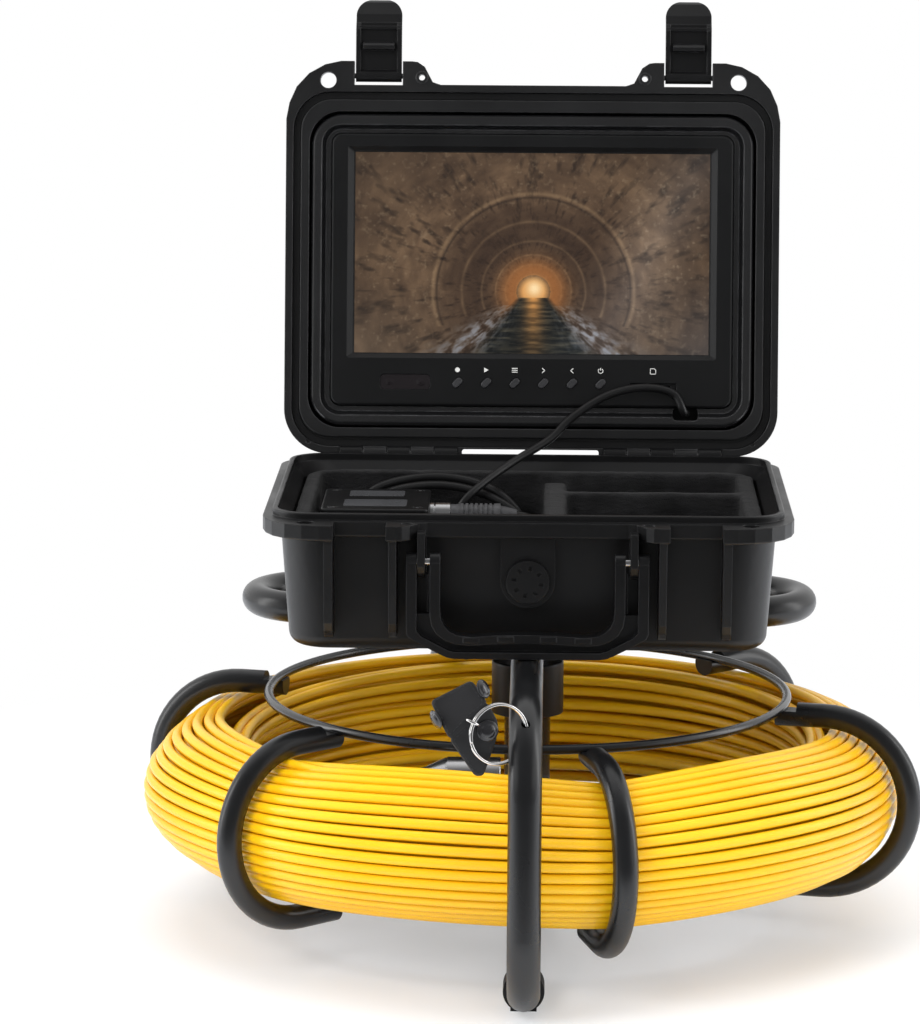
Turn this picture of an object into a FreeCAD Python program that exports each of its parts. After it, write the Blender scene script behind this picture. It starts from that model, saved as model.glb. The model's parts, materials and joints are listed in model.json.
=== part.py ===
import FreeCAD, Part
import math
import os
from FreeCAD import Vector

# Pipe inspection camera: a push cable coiled in a revolving basket, a bent-tube
# stand, and a waterproof case with a monitor in its lid.
# Frame: millimetres, +Z up, the floor is Z = 0, the basket turns about the Z axis.
# -Y is the user's side (front), +Y is the lid's hinge side (back).

# ------------------------------------------------------------------ shared dimensions
# Stand
stand_r = 8.5               # tube outer radius
stand_wall = 1.5
top_run_z = 157.5           # centreline of the run under the case
low_run_z = 10.2            # centreline of the run on the floor
top_run_bottom = top_run_z - stand_r
low_run_top = low_run_z + stand_r
axle_r = 6.0
axle_nut_af, axle_nut_h = 19, 5.8     # across flats, height
# Basket
ring_z = 125.0              # plane of the upper ring
ring_r = 140.8              # centreline radius of both rings
hub_r = 12.5
# Camera head, lying along X on the coil
camera_x, camera_y, camera_z = -50.8, -152.0, ring_z - 13.2   # rear end, axis
camera_length = 38.0
# Split ring that hangs in two holes of the stand's top bend
keeper_centre = Vector(-13.2, -224.5, 152.0)
keeper_r, keeper_wire = 15.0, 1.25
keeper_normal = Vector(0.401, -0.915, 0.012)
keeper_normal.normalize()
# Case
case_bottom = 166.0
rim_z = 236.5               # parting plane
wall = 3.5
flange_x, flange_y = 138.7, 103.75    # half sizes
flange_t = 8.0
bolt_xy = [(side_x * 50, side_y * 9) for side_x in (-1, 1) for side_y in (-1, 1)]
bolt_r, bolt_hole_r = 2.5, 2.6
# Lid: "t" is a distance from the hinge line towards the lid's free edge
lid_h = 46.0
lid_open_deg = 99.0
hinge_up = 2.2              # hinge line above the parting plane
hinge_y, hinge_z = flange_y, rim_z + hinge_up
latch_x = 87.0              # latch centres, either side of X = 0
latch_t, latch_up = 212.6, 5.0        # latch pivot

X, Y, Z = Vector(1, 0, 0), Vector(0, 1, 0), Vector(0, 0, 1)
SIN45 = math.sqrt(0.5)
os.makedirs("parts", exist_ok=True)


# ------------------------------------------------------------------ helpers
def box(x0, x1, y0, y1, z0, z1):
    return Part.makeBox(x1 - x0, y1 - y0, z1 - z0, Vector(x0, y0, z0))


def rod(radius, start, axis, length):
    return Part.makeCylinder(radius, length, Vector(*start), axis)


def tube(outer_r, inner_r, start, axis, length):
    return rod(outer_r, start, axis, length).cut(rod(inner_r, start, axis, length))


def line(start, end):
    return Part.makeLine(Vector(*start), Vector(*end))


def arc(start, middle, end):
    return Part.Arc(Vector(*start), Vector(*middle), Vector(*end)).toShape()


def union(parts):
    fused = parts[0].fuse(parts[1:])
    try:
        fused = fused.removeSplitter()
    except Exception:
        pass    # merging coplanar faces may fail; the plain fusion is still good
    return fused


def fillet(shape, radius, pick):
    """Round the picked edges; the shape stays sharp where the kernel cannot."""
    edges = [edge for edge in shape.Edges if pick(edge)]
    if not edges:
        return shape
    try:
        rounded = shape.makeFillet(radius, edges)
        if rounded.isValid() and rounded.Volume > 0:
            return rounded
    except Exception:
        pass    # a fillet the kernel cannot build is left out
    return shape


def edges_at(axis, level, tolerance=0.05, closed=False):
    """Edge picker: edges centred on a level of the axis "x", "y" or "z"."""
    def pick(edge):
        offset = getattr(edge.BoundBox.Center, axis) - level
        return (edge.Closed or not closed) and abs(offset) < tolerance
    return pick


def largest(shape):
    return max(shape.Solids, key=lambda solid: solid.Volume)


def rounded_rectangle(x0, x1, y0, y1, radius, z):
    """Closed wire in the plane z, from the front left corner anticlockwise."""
    r, inset = radius, radius - radius * SIN45
    # for each side: start of its line, end of its line, middle of the corner after it
    outline = [(x0 + r, y0), (x1 - r, y0), (x1 - inset, y0 + inset),
               (x1, y0 + r), (x1, y1 - r), (x1 - inset, y1 - inset),
               (x1 - r, y1), (x0 + r, y1), (x0 + inset, y1 - inset),
               (x0, y1 - r), (x0, y0 + r), (x0 + inset, y0 + inset)]
    points = [(x, y, z) for x, y in outline + outline[:1]]
    edges = []
    for k in range(0, 12, 3):
        edges.append(line(points[k], points[k + 1]))
        edges.append(arc(*points[k + 1:k + 4]))
    return Part.Wire(edges)


def block(x0, x1, y0, y1, z0, z1, radius):
    """Block with rounded vertical corners."""
    face = Part.Face(rounded_rectangle(x0, x1, y0, y1, radius, z0))
    return face.extrude(Vector(0, 0, z1 - z0))


def centred_block(half_x, half_y, z0, z1, radius):
    return block(-half_x, half_x, -half_y, half_y, z0, z1, radius)


def centred(half_x, half_y, radius, z):
    """Arguments of a rounded rectangle centred on the Z axis."""
    return -half_x, half_x, -half_y, half_y, radius, z


def taper(bottom, top):
    """Tapered block between two rounded rectangles, given by their arguments."""
    return Part.makeLoft([rounded_rectangle(*bottom), rounded_rectangle(*top)], True, True)


def prism(points, length, axis="z", at=0.0):
    """Extruded polygon of (x, y), (x, z) or (y, z) points for axis z, y or x."""
    if axis == "z":
        corners = [Vector(a, b, at) for a, b in points]
        direction = Z
    elif axis == "y":
        corners = [Vector(a, at, b) for a, b in points]
        direction = Y
    else:
        corners = [Vector(at, a, b) for a, b in points]
        direction = X
    return Part.Face(Part.makePolygon(corners + [corners[0]])).extrude(direction * length)


def swept_rod(wire, radius, start, tangent):
    profile = Part.Wire(Part.makeCircle(radius, start, tangent))
    return wire.makePipeShell([profile], True, True)


def hex_nut(across_flats, height, bore, start):
    corner_r = across_flats / 2 / math.cos(math.pi / 6)
    points = []
    for k in range(6):
        angle = math.radians(60 * k)
        points.append((start[0] + corner_r * math.cos(angle),
                       start[1] + corner_r * math.sin(angle)))
    return prism(points, height, "z", start[2]).cut(rod(bore, start, Z, height))


def turned(shape, degrees):
    """Copy turned about the basket's axis."""
    copy = shape.copy()
    copy.rotate(Vector(0, 0, 0), Z, degrees)
    return copy


def span(side, a, b):
    """The interval a..b on the right (side 1), or its mirror image (side -1)."""
    return sorted((side * a, side * b))


def below_rim(points):
    """Turn (x or y, depth below the rim) points into (x or y, z)."""
    return [(a, rim_z - drop) for a, drop in points]


def open_lid(shape):
    """Turn a shape from the closed lid's place to the open one."""
    copy = shape.copy()
    copy.rotate(Vector(0, hinge_y, hinge_z), X, -lid_open_deg)
    return copy


def save(name, *shapes):
    solids = [solid for shape in shapes for solid in shape.Solids]
    assert solids, name
    piece = solids[0] if len(solids) == 1 else Part.makeCompound(solids)
    piece.exportStep("parts/%s.step" % name)


# ------------------------------------------------------------------ stand
front_y = -228.0            # centreline of the front upright
bend_r = 38.0
bend_y = front_y + bend_r   # where the runs meet the bends
loop_y = 99.0               # centre of the carry loop and of the base loop
loop_half = 35.0
loop_x = 153.5              # extreme centreline X of the loops
loop_front, loop_back = loop_y - loop_half, loop_y + loop_half
foot_length = 16.0
foot_half = 6.7             # half width of a foot's pad


def loop_rod(z, radius):
    """Solid rod along a racetrack loop at height z."""
    end_x = loop_x - loop_half
    wire = Part.Wire([
        line((0, loop_front, z), (end_x, loop_front, z)),
        arc((end_x, loop_front, z), (loop_x, loop_y, z), (end_x, loop_back, z)),
        line((end_x, loop_back, z), (-end_x, loop_back, z)),
        arc((-end_x, loop_back, z), (-loop_x, loop_y, z), (-end_x, loop_front, z)),
        line((-end_x, loop_front, z), (0, loop_front, z))])
    return swept_rod(wire, radius, Vector(0, loop_front, z), X)


def loop_tube(z):
    return loop_rod(z, stand_r).cut(loop_rod(z, stand_r - stand_wall))


def stand_rod(radius):
    """Solid rod along the C-shaped frame, from the top run to the low run."""
    top, low = top_run_z, low_run_z
    mid = bend_r * SIN45
    wire = Part.Wire([
        line((0, loop_front, top), (0, bend_y, top)),
        arc((0, bend_y, top), (0, bend_y - mid, top - bend_r + mid),
            (0, front_y, top - bend_r)),
        line((0, front_y, top - bend_r), (0, front_y, low + bend_r)),
        arc((0, front_y, low + bend_r), (0, bend_y - mid, low + bend_r - mid),
            (0, bend_y, low)),
        line((0, bend_y, low), (0, loop_front, low))])
    return swept_rod(wire, radius, Vector(0, loop_front, top), Vector(0, -1, 0))


def stand_tube():
    frame = stand_rod(stand_r).cut(stand_rod(stand_r - stand_wall))
    # fish-mouthed on both loops
    frame = frame.cut([loop_rod(top_run_z, stand_r), loop_rod(low_run_z, stand_r)])
    # cross holes for the axle
    frame = frame.cut([rod(axle_r, (0, 0, top_run_z - 12), Z, 10),
                       rod(axle_r, (0, 0, low_run_z), Z, 12)])
    # holes for the keeper ring
    frame = frame.cut(Part.makeTorus(keeper_r, keeper_wire + 0.95, keeper_centre, keeper_normal))
    return largest(frame)


def foot(axis, x, y):
    """Collar with a square pad under it, on a low tube that runs along the axis."""
    start = (x, y, low_run_z)
    collar = rod(stand_r + 2.1, start, axis, foot_length)
    if axis.y:
        pad = box(x - foot_half, x + foot_half, y, y + foot_length, 0.0, low_run_z)
    else:
        pad = box(x, x + foot_length, y - foot_half, y + foot_half, 0.0, low_run_z)
    shape = collar.fuse(pad).removeSplitter()
    shape = shape.cut(box(-400, 400, -400, 400, -5, 0.0))   # nothing below the floor
    return shape.cut(rod(stand_r, start, axis, foot_length))


def stand_feet():
    """One foot at the front bend, four on the base loop."""
    feet = [foot(Y, 0, bend_y + 0.5)]
    for side in (-1, 1):
        for y in (loop_front, loop_back):
            feet.append(foot(X, side * 96 - foot_length / 2, y))
    return feet


def axle_rod():
    bottom, top = low_run_z - 1, top_run_z + 1
    axle = rod(axle_r, (0, 0, bottom), Z, top - bottom)
    return fillet(axle, 0.8, lambda edge: edge.Closed and len(edge.Vertexes) == 1)


def axle_nut(z):
    return hex_nut(axle_nut_af, axle_nut_h, axle_r, (0, 0, z))


save("stand_tube", stand_tube())
save("carry_loop", loop_tube(top_run_z))
save("base_loop", loop_tube(low_run_z))
save("stand_feet", *stand_feet())
save("axle_rod", axle_rod())
save("axle_nuts", axle_nut(low_run_top), axle_nut(top_run_bottom - axle_nut_h))

# ------------------------------------------------------------------ slip ring
housing_z0, housing_z1 = 114.5, top_run_bottom - axle_nut_h
housing_r, housing_bore = 19.5, 17.5
contact_r = 15.95           # raised contact rings on the rotor


def slip_ring_housing():
    """Fixed cup open at the bottom, clamped by the upper nut."""
    cup = rod(housing_r, (0, 0, housing_z0), Z, housing_z1 - housing_z0)
    cup = fillet(cup, 1.2, edges_at("z", housing_z1, 0.1, closed=True))
    cup = cup.cut(rod(housing_bore, (0, 0, 110), Z, housing_z1 - 3 - 110))
    return cup.cut(rod(axle_r, (0, 0, 110), Z, 60))


def slip_ring_brushes():
    holder = tube(housing_bore, 16.3, (0, 0, 117), Z, 18).common(box(-8, 8, 5, 20, 117, 135))
    parts = [holder]
    for z in (121.2, 126.2, 131.2):
        finger = tube(housing_bore, 16.02, (0, 0, z), Z, 1.6)
        parts.append(finger.common(box(-2, 2, 5, 20, 100, 160)))
    return union(parts)


def slip_ring_rotor():
    rotor = tube(15.2, hub_r, (0, 0, 118), Z, 18.5)
    for z in (120.5, 125.5, 130.5):
        rotor = rotor.fuse(tube(contact_r, 15.2, (0, 0, z), Z, 3.0))
    return rotor.removeSplitter()


save("slip_ring_housing", slip_ring_housing())
save("slip_ring_brushes", slip_ring_brushes())
save("slip_ring_rotor", slip_ring_rotor())

# ------------------------------------------------------------------ case mounting
ear_t = 3


def case_mount_ears():
    """Plates either side of the top run, under the case."""
    ears = centred_block(62, 17, case_bottom - ear_t, case_bottom, 6)
    ears = ears.cut(rod(stand_r, (0, -40, top_run_z), Y, 80))
    for x, y in bolt_xy:
        ears = ears.cut(rod(bolt_hole_r, (x, y, case_bottom - 10), Z, 20))
    return [ear for ear in ears.Solids if ear.Volume > 200]


def case_bolt(x, y):
    head_z, head_h = case_bottom - 6, 3
    head = rod(4.6, (x, y, head_z), Z, head_h)
    head = fillet(head, 1.6, edges_at("z", head_z, 0.1, closed=True))
    bolt = head.fuse(rod(bolt_r, (x, y, head_z + head_h), Z, 12))
    return bolt.cut(rod(1.5, (x, y, head_z), Z, 1.6))


def case_nuts():
    """A washer and a nut on each bolt, on the case floor."""
    floor_z, washer_t = case_bottom + wall, 1.0
    parts = []
    for x, y in bolt_xy:
        parts.append(tube(5.5, bolt_hole_r, (x, y, floor_z), Z, washer_t))
        parts.append(hex_nut(8, 3.8, bolt_r, (x, y, floor_z + washer_t)))
    return parts


save("case_mount_ears", *case_mount_ears())
save("case_bolts", *[case_bolt(x, y) for x, y in bolt_xy])
save("case_nuts", *case_nuts())

# ------------------------------------------------------------------ basket
hoop_azimuths = (-13.0, -76.0, -136.5, 166.0, 105.0, 44.0)    # degrees
hoop_tube_r = 6.5
hoop_x = 163.65             # centre of the hoop's outer bend
hoop_top, hoop_bottom = ring_z - 3.7, ring_z - 97.0
hoop_mid_z = (hoop_top + hoop_bottom) / 2
hoop_bend_r = (hoop_top - hoop_bottom) / 2
low_ring_z = hoop_bottom + hoop_tube_r + 0.5
hub_bore = 10.5
hub_z0, hub_z1 = low_run_top + axle_nut_h + 1.8, 138.0

upper_ring = Part.makeTorus(ring_r, 2.5, Vector(0, 0, ring_z), Z)
lower_ring = Part.makeTorus(ring_r, 3.0, Vector(0, 0, low_ring_z), Z)


def hoop_arm():
    """C-shaped arm in the XZ plane, opening towards the axle."""
    start = (137.5, 0, hoop_top)
    wire = Part.Wire([
        line(start, (hoop_x, 0, hoop_top)),
        arc((hoop_x, 0, hoop_top), (hoop_x + hoop_bend_r, 0, hoop_top - hoop_bend_r),
            (hoop_x, 0, hoop_bottom)),
        line((hoop_x, 0, hoop_bottom), (138.5, 0, hoop_bottom))])
    arm = swept_rod(wire, hoop_tube_r, Vector(*start), X)
    # the upper end is flat where it lies under the ring
    arm = arm.cut(box(130, 149.0, -20, 20, ring_z - 1.2, ring_z + 12))
    return arm.cut([upper_ring, lower_ring])


def basket_spoke(arm):
    spoke = rod(4.0, (0, 0, low_ring_z), X, ring_r - 0.5)
    return largest(spoke.cut([lower_ring, arm, rod(hub_r, (0, 0, 0), Z, 200)]))


def hub_bush(z, inward):
    """Flanged bush in an end of the hub; inward is 1 for up, -1 for down."""
    bush = rod(hub_bore, (0, 0, z), Z * inward, 12)
    flange = rod(hub_r, (0, 0, z), Z * -inward, 1.5)
    return bush.fuse(flange).removeSplitter().cut(rod(axle_r + 0.05, (0, 0, 0), Z, 200))


def push_cable():
    """The coil as one ring with a ridged outside, one ridge per strand."""
    strands = 15
    coil_r = hoop_bend_r - hoop_tube_r - 1.9
    outside = []
    for k in range(strands + 1):
        angle = math.radians(86 - 172.0 * k / strands)
        outside.append(Vector(hoop_x + coil_r * math.cos(angle), 0,
                              hoop_mid_z + coil_r * math.sin(angle)))
    edges = []
    for start, end in zip(outside[:-1], outside[1:]):
        middle = (start + end) * 0.5
        outward = Vector(middle.x - hoop_x, 0, middle.z - hoop_mid_z)
        outward.normalize()
        edges.append(Part.Arc(start, middle + outward * 0.75, end).toShape())
    top, bottom = outside[0], outside[-1]
    lower_z, upper_z = bottom.z + 3.5, top.z - 3.5
    # (x, z) of the hollow inner side, from the bottom up
    hollow = [(150, bottom.z), (147, lower_z), (150, lower_z + 9),
              (172, hoop_mid_z - 21), (180, hoop_mid_z), (172, hoop_mid_z + 21),
              (150, upper_z - 9), (147, upper_z), (150, top.z)]
    inside = [bottom] + [Vector(x, 0, z) for x, z in hollow] + [top]
    for start, end in zip(inside[:-1], inside[1:]):
        edges.append(Part.makeLine(start, end))
    coil = Part.Face(Part.Wire(edges)).revolve(Vector(0, 0, 0), Z, 360)
    if coil.Volume < 0:     # the revolved solid may come out inside out
        coil.reverse()
    # bed for the camera head
    return largest(coil.cut(rod(12.8, (-66, camera_y, camera_z), X, 58)))


hoop = hoop_arm()
spoke = basket_spoke(hoop)
save("upper_ring", upper_ring)
save("lower_ring", lower_ring)
save("hoop_arms", *[largest(turned(hoop, azimuth)) for azimuth in hoop_azimuths])
save("basket_spokes", *[turned(spoke, azimuth) for azimuth in hoop_azimuths])
save("hub_tube", tube(hub_r, hub_bore, (0, 0, hub_z0), Z, hub_z1 - hub_z0))
save("hub_bushes", hub_bush(hub_z0, 1), hub_bush(hub_z1, -1))
save("push_cable", push_cable())

# ------------------------------------------------------------------ camera head
push_cable_r = 2.75
window_r = 9.6


def on_camera(offset):
    """Point on the camera's axis; the lens faces +X."""
    return camera_x + offset, camera_y, camera_z


def camera_housing():
    cone = Part.makeCone(6.6, 11.2, 10.0, Vector(*on_camera(0)), X)
    neck = rod(10.9, on_camera(10.0), X, 0.6)
    barrel = rod(11.5, on_camera(10.6), X, 27.4)
    housing = union([cone, neck, barrel])
    housing = fillet(housing, 0.8, edges_at("x", camera_x + camera_length, closed=True))
    housing = housing.cut(rod(window_r, on_camera(12), X, 30))
    return housing.cut(rod(push_cable_r, on_camera(-1), X, 20))


def camera_led_ring():
    ring = tube(9.4, 4.4, on_camera(camera_length - 6.8), X, 1.6)
    x = camera_x + camera_length - 5.2
    for k in range(12):
        angle = math.radians(30 * k)
        y, z = camera_y + 7 * math.cos(angle), camera_z + 7 * math.sin(angle)
        ring = ring.fuse(rod(1.0, (x, y, z), X, 0.9))
    return ring


def camera_sensor():
    front = camera_x + camera_length - 11.0
    body = box(front - 5, front, camera_y - 6, camera_y + 6, camera_z - 6, camera_z + 6)
    return union([body, rod(3.9, (front, camera_y, camera_z), X, 6.4)])


def camera_strain_relief():
    relief = Part.makeCone(3.6, 6.4, 12.0, Vector(*on_camera(-12.0)), X)
    return relief.cut(rod(push_cable_r, on_camera(-13), X, 20))


save("camera_housing", camera_housing())
save("camera_window", rod(window_r, on_camera(camera_length - 4.0), X, 2.6))
save("camera_led_ring", camera_led_ring())
save("camera_sensor", camera_sensor())
save("camera_strain_relief", camera_strain_relief())

# ------------------------------------------------------------------ case base
tub_top_x, tub_top_y = 130.0, 95.0        # half sizes
tub_low_x, tub_low_y = 125.5, 90.5
lip_h = 3.5
valve_z = rim_z - 31.6
valve_seat_y = -98.2
pivot_y, pivot_drop = -109.5, 19.4        # handle pivot
pivot_z = rim_z - pivot_drop
bracket_hole = (62.6, 211.6)              # x, t of the small hole in a latch bracket
knuckle_r, knuckle_clearance_r = 4.4, 4.65
hinge_starts, knuckle_pitch, knuckle_n = (-107.3, 41.0), 13.3, 5
hinge_pin_r = 1.6

# latch bracket outline: x, t
bracket_outline = [
    (52, 207.5), (56.5, 209.0), (61.0, 217.5), (65, 220.2), (68, 220.6), (108, 220.6),
    (117, 218.6), (126, 213.6), (133, 206), (137, 197), (138.7, 188), (138.7, 150),
    (100, 150), (52, 199)]
# side profiles: y, depth below the rim
front_rib_profile = [
    (-85, 4), (-116.2, 4), (-116.2, 10), (-113.6, 40), (-112.4, 52), (-110.4, 56.5),
    (-107.0, 59.5), (-102.5, 61), (-85, 61)]
lug_profile = [
    (-85, 4), (-114.5, 4), (-114.5, 21.5), (-112.6, 25.2), (-109.5, 27.4), (-104, 29),
    (-85, 29)]
back_rib_profile = [(86, 4), (101.8, 4), (101.8, 9), (96.6, 46), (92, 52), (86, 52)]

# hinge knuckles: x0, x1, belongs to the base; the base has the outer and middle ones
knuckles = []
for hinge_start in hinge_starts:
    for i in range(knuckle_n):
        knuckles.append((hinge_start + i * knuckle_pitch,
                         hinge_start + (i + 1) * knuckle_pitch, i % 2 == 0))


def flange(z0, z1):
    """Flange with two latch brackets at the front, shared by base and lid."""
    plate = centred_block(flange_x, flange_y, z0, z1, 25.0)
    for side in (-1, 1):
        outline = [(side * x, hinge_y - t) for x, t in bracket_outline]
        plate = plate.fuse(prism(outline, z1 - z0, "z", z0))
    plate = plate.removeSplitter()
    hole_x, hole_t = bracket_hole
    height = z1 - z0 + 2
    for side in (-1, 1):
        plate = plate.cut(box(*span(side, 73.4, 100.6), hinge_y - 224, hinge_y - 207.2,
                              z0 - 1, z1 + 1))
        plate = plate.cut(rod(4.5, (side * 115.2, hinge_y - 209.8, z0 - 1), Z, height))
        plate = plate.cut(rod(1.7, (side * hole_x, hinge_y - hole_t, z0 - 1), Z, height))
    return plate


def side_prism(profile, side, x0, x1):
    return prism(below_rim(profile), x1 - x0, "x", span(side, x0, x1)[0])


def base_tub():
    tub = taper(centred(tub_low_x, tub_low_y, 22, case_bottom),
                centred(tub_top_x, tub_top_y, 24, rim_z - flange_t + 1))
    return fillet(tub, 7.0, edges_at("z", case_bottom))


def base_lip():
    lip = centred_block(134, flange_y - 4.7, rim_z - 1, rim_z + lip_h, 21)
    return fillet(lip, 0.8, edges_at("z", rim_z + lip_h))


def base_cavities():
    """Main cavity, the flare above it, and the opening through the lip."""
    floor_z = case_bottom + wall
    upper_x, upper_y = tub_top_x - wall - 1.0, tub_top_y - wall - 1.0
    main = taper(centred(tub_low_x - wall, tub_low_y - wall, 18.5, floor_z),
                 centred(upper_x, upper_y, 20, rim_z - flange_t + 2))
    main = fillet(main, 4.0, edges_at("z", floor_z))
    flare = taper(centred(upper_x, upper_y, 20, rim_z - flange_t + 1.9),
                  centred(131, flange_y - 7.7, 18, rim_z - 0.2))
    opening = centred_block(131, flange_y - 7.7, rim_z - 0.3, rim_z + lip_h + 1, 18)
    return [main, flare, opening]


def case_base():
    base = flange(rim_z - flange_t, rim_z)
    base = fillet(base, 1.0, edges_at("z", rim_z - flange_t, 0.01))
    parts = [base, base_tub(), base_lip()]
    for side in (-1, 1):
        # ribs on both sides of the latch recess
        for x0, x1 in ((67.9, 72.0), (100.9, 105.6)):
            parts.append(side_prism(front_rib_profile, side, x0, x1))
        # pivot lug of the handle, and the skirt below it
        parts.append(side_prism(lug_profile, side, 53.1, 57.1))
        parts.append(box(*span(side, 52.0, 57.8), -99.5, -85, rim_z - 58, rim_z - 28))
    for x in (-114, -34, 34, 114):
        parts.append(prism(below_rim(back_rib_profile), 3.4, "x", x - 1.7))
    # raised boss behind the pressure valve
    boss_r = 14.2
    parts.append(union([box(-boss_r, boss_r, valve_seat_y, -84, valve_z, rim_z - 4),
                        rod(boss_r, (0, valve_seat_y, valve_z), Y, 14)]))
    base = union(parts)
    base = base.cut(base_cavities())
    # case bolt holes, lug bores, valve bore and bracket counterbores
    for x, y in bolt_xy:
        base = base.cut(rod(bolt_hole_r, (x, y, case_bottom - 1), Z, 10))
    base = base.cut(rod(2.0, (-70, pivot_y, pivot_z), X, 140))
    base = base.cut(rod(5.0, (0, -102, valve_z), Y, 20))
    hole_x, hole_t = bracket_hole
    for side in (-1, 1):
        base = base.cut(rod(3.7, (side * hole_x, hinge_y - hole_t, rim_z - 0.8), Z, 2))
    for x0, x1, is_base in knuckles:
        if is_base:
            base = base.fuse([
                rod(knuckle_r, (x0 + 0.2, hinge_y, hinge_z), X, x1 - x0 - 0.4),
                box(x0 + 0.2, x1 - 0.2, hinge_y - 4.35, hinge_y, rim_z - 2, hinge_z)])
        else:
            base = base.cut(rod(knuckle_clearance_r, (x0 - 0.1, hinge_y, hinge_z), X,
                                x1 - x0 + 0.2))
    return largest(base.cut(rod(hinge_pin_r, (-120, hinge_y, hinge_z), X, 240)))


save("case_base", case_base())


# ------------------------------------------------------------------ case lid (modelled closed)
def lid_dome():
    t_back, t_front = 11.0, 196.5
    lid_top = rim_z + lid_h
    dome = taper((-130, 130, hinge_y - t_front, hinge_y - t_back, 24, rim_z + 4),
                 (-126.5, 126.5, hinge_y - t_front + 3.5, hinge_y - t_back - 3.5, 22, lid_top))
    return fillet(dome, 6.0, edges_at("z", lid_top))


def lid_shell():
    """Flange and dome with three ribs on top, hollowed, with the seal groove."""
    lid = flange(rim_z, rim_z + flange_t)
    lid = fillet(lid, 1.0, edges_at("z", rim_z + flange_t, 0.01))
    parts = [lid, lid_dome()]
    for k in range(3):
        y = hinge_y - 56 - k * 46
        parts.append(block(-96, 96, y - 14, y + 14, rim_z + lid_h - 1, rim_z + lid_h + 1.6, 6))
    lid = union(parts)
    lid = lid.cut(taper(
        (-125.6, 125.6, hinge_y - 192.4, hinge_y - 14.6, 18, rim_z - 1),
        (-123, 123, hinge_y - 190, hinge_y - 17.0, 17, rim_z + lid_h - wall)))
    # the groove is wider on the hinge side so that the lip swings out of it
    groove = centred_block(134.6, flange_y - 4.1, rim_z - 1, rim_z + 5.5, 21.5)
    core = block(-130.2, 130.2, -flange_y + 8.6, flange_y - 9.7, rim_z - 1, rim_z + 5.5, 17.5)
    return lid.cut(groove.cut(core))


def case_lid():
    lid = lid_shell()
    # small blind holes near the back corners
    for side in (-1, 1):
        lid = lid.cut(rod(1.3, (side * 124.8, hinge_y - 6.9, rim_z - 1), Z, 3.6))
    for x0, x1, is_base in knuckles:
        if is_base:
            lid = lid.cut([
                rod(knuckle_clearance_r, (x0 - 0.1, hinge_y, hinge_z), X, x1 - x0 + 0.2),
                box(x0 - 0.1, x1 + 0.1, hinge_y - knuckle_clearance_r, hinge_y + 9,
                    rim_z - 1, hinge_z)])
        else:
            lid = lid.fuse(rod(knuckle_r, (x0 + 0.2, hinge_y, hinge_z), X, x1 - x0 - 0.4))
    lid = lid.cut(rod(1.65, (-120, hinge_y, hinge_z), X, 240))
    # the flange is relieved between the two hinges
    lid = lid.cut(block(-38.5, 38.5, hinge_y - 3.0, hinge_y + 5, rim_z - 1, rim_z + 10, 1.5))
    # latch pivot bores, and a collar round each small bracket hole
    hole_x, hole_t = bracket_hole
    for side in (-1, 1):
        lid = lid.cut(rod(1.5, (side * latch_x - 22, hinge_y - latch_t, rim_z + latch_up), X, 44))
        lid = lid.fuse(tube(3.4, 1.7, (side * hole_x, hinge_y - hole_t, rim_z - 0.6), Z, 0.8))
    return largest(lid)


def lid_seal():
    outer = centred_block(134.4, flange_y - 4.3, rim_z + 3.6, rim_z + 5.5, 21.3)
    return outer.cut(centred_block(130.6, flange_y - 8.1, rim_z + 3, rim_z + 8, 17.8))


def hinge_pin(start_x):
    length = knuckle_n * knuckle_pitch - 1.2
    return rod(hinge_pin_r, (start_x + 0.6, hinge_y, hinge_z), X, length)


def latch(centre_x):
    """Over-centre latch lying open, straight out from the lid's front edge."""
    half = 12.85
    x0, x1 = centre_x - half, centre_x + half
    pivot = hinge_y - latch_t
    z0 = rim_z + latch_up

    def profile(points, length, x):
        """Prism of (distance out from the pivot, height above it) points."""
        return prism([(pivot - out, z0 + up) for out, up in points], length, "x", x)

    parts = [rod(3.4, (x0, pivot, z0), X, 2 * half),
             box(x0, x1, pivot - 30, pivot, z0 - 0.6, z0 + 2.4)]
    cheek = [(0, -2.6), (4, -3.5), (26, -3.5), (30, -1.0), (30, 1), (0, 1)]
    for x in (x0, x1 - 2.6):
        parts.append(profile(cheek, 2.6, x))
    # catch that hooks under the base flange, and a stiffener
    catch = [(14.6, 0), (14.6, -6.4), (16.6, -7.2), (18.2, -5.2), (19, 0)]
    parts.append(profile(catch, 2 * half - 8, x0 + 4))
    parts.append(box(x0, x1, pivot - 28.0, pivot - 26.2, z0 - 2.6, z0))
    # finger lip curving away at the tip, rounded in plan
    lip = [(27.0, -0.6), (30, -0.4), (35, 1.6), (42.0, 6.0), (43.4, 8.2),
           (41.0, 8.6), (34, 4.6), (30, 2.6), (27.0, 2.4)]
    plan = block(x0, x1, pivot - 43.6, pivot + 20, z0 - 30, z0 + 30, 9.5)
    parts.append(profile(lip, 2 * half, x0).common(plan))
    return largest(union(parts).cut(rod(1.55, (centre_x - 20, pivot, z0), X, 40)))


def latch_pin(centre_x):
    return rod(1.5, (centre_x - 20, hinge_y - latch_t, rim_z + latch_up), X, 40)


save("case_lid", open_lid(case_lid()))
save("lid_seal", open_lid(lid_seal()))
save("hinge_pins", *[hinge_pin(x) for x in hinge_starts])
save("latch_left", open_lid(latch(-latch_x)))
save("latch_right", open_lid(latch(latch_x)))
save("latch_pins", *[open_lid(latch_pin(x)) for x in (-latch_x, latch_x)])

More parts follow.
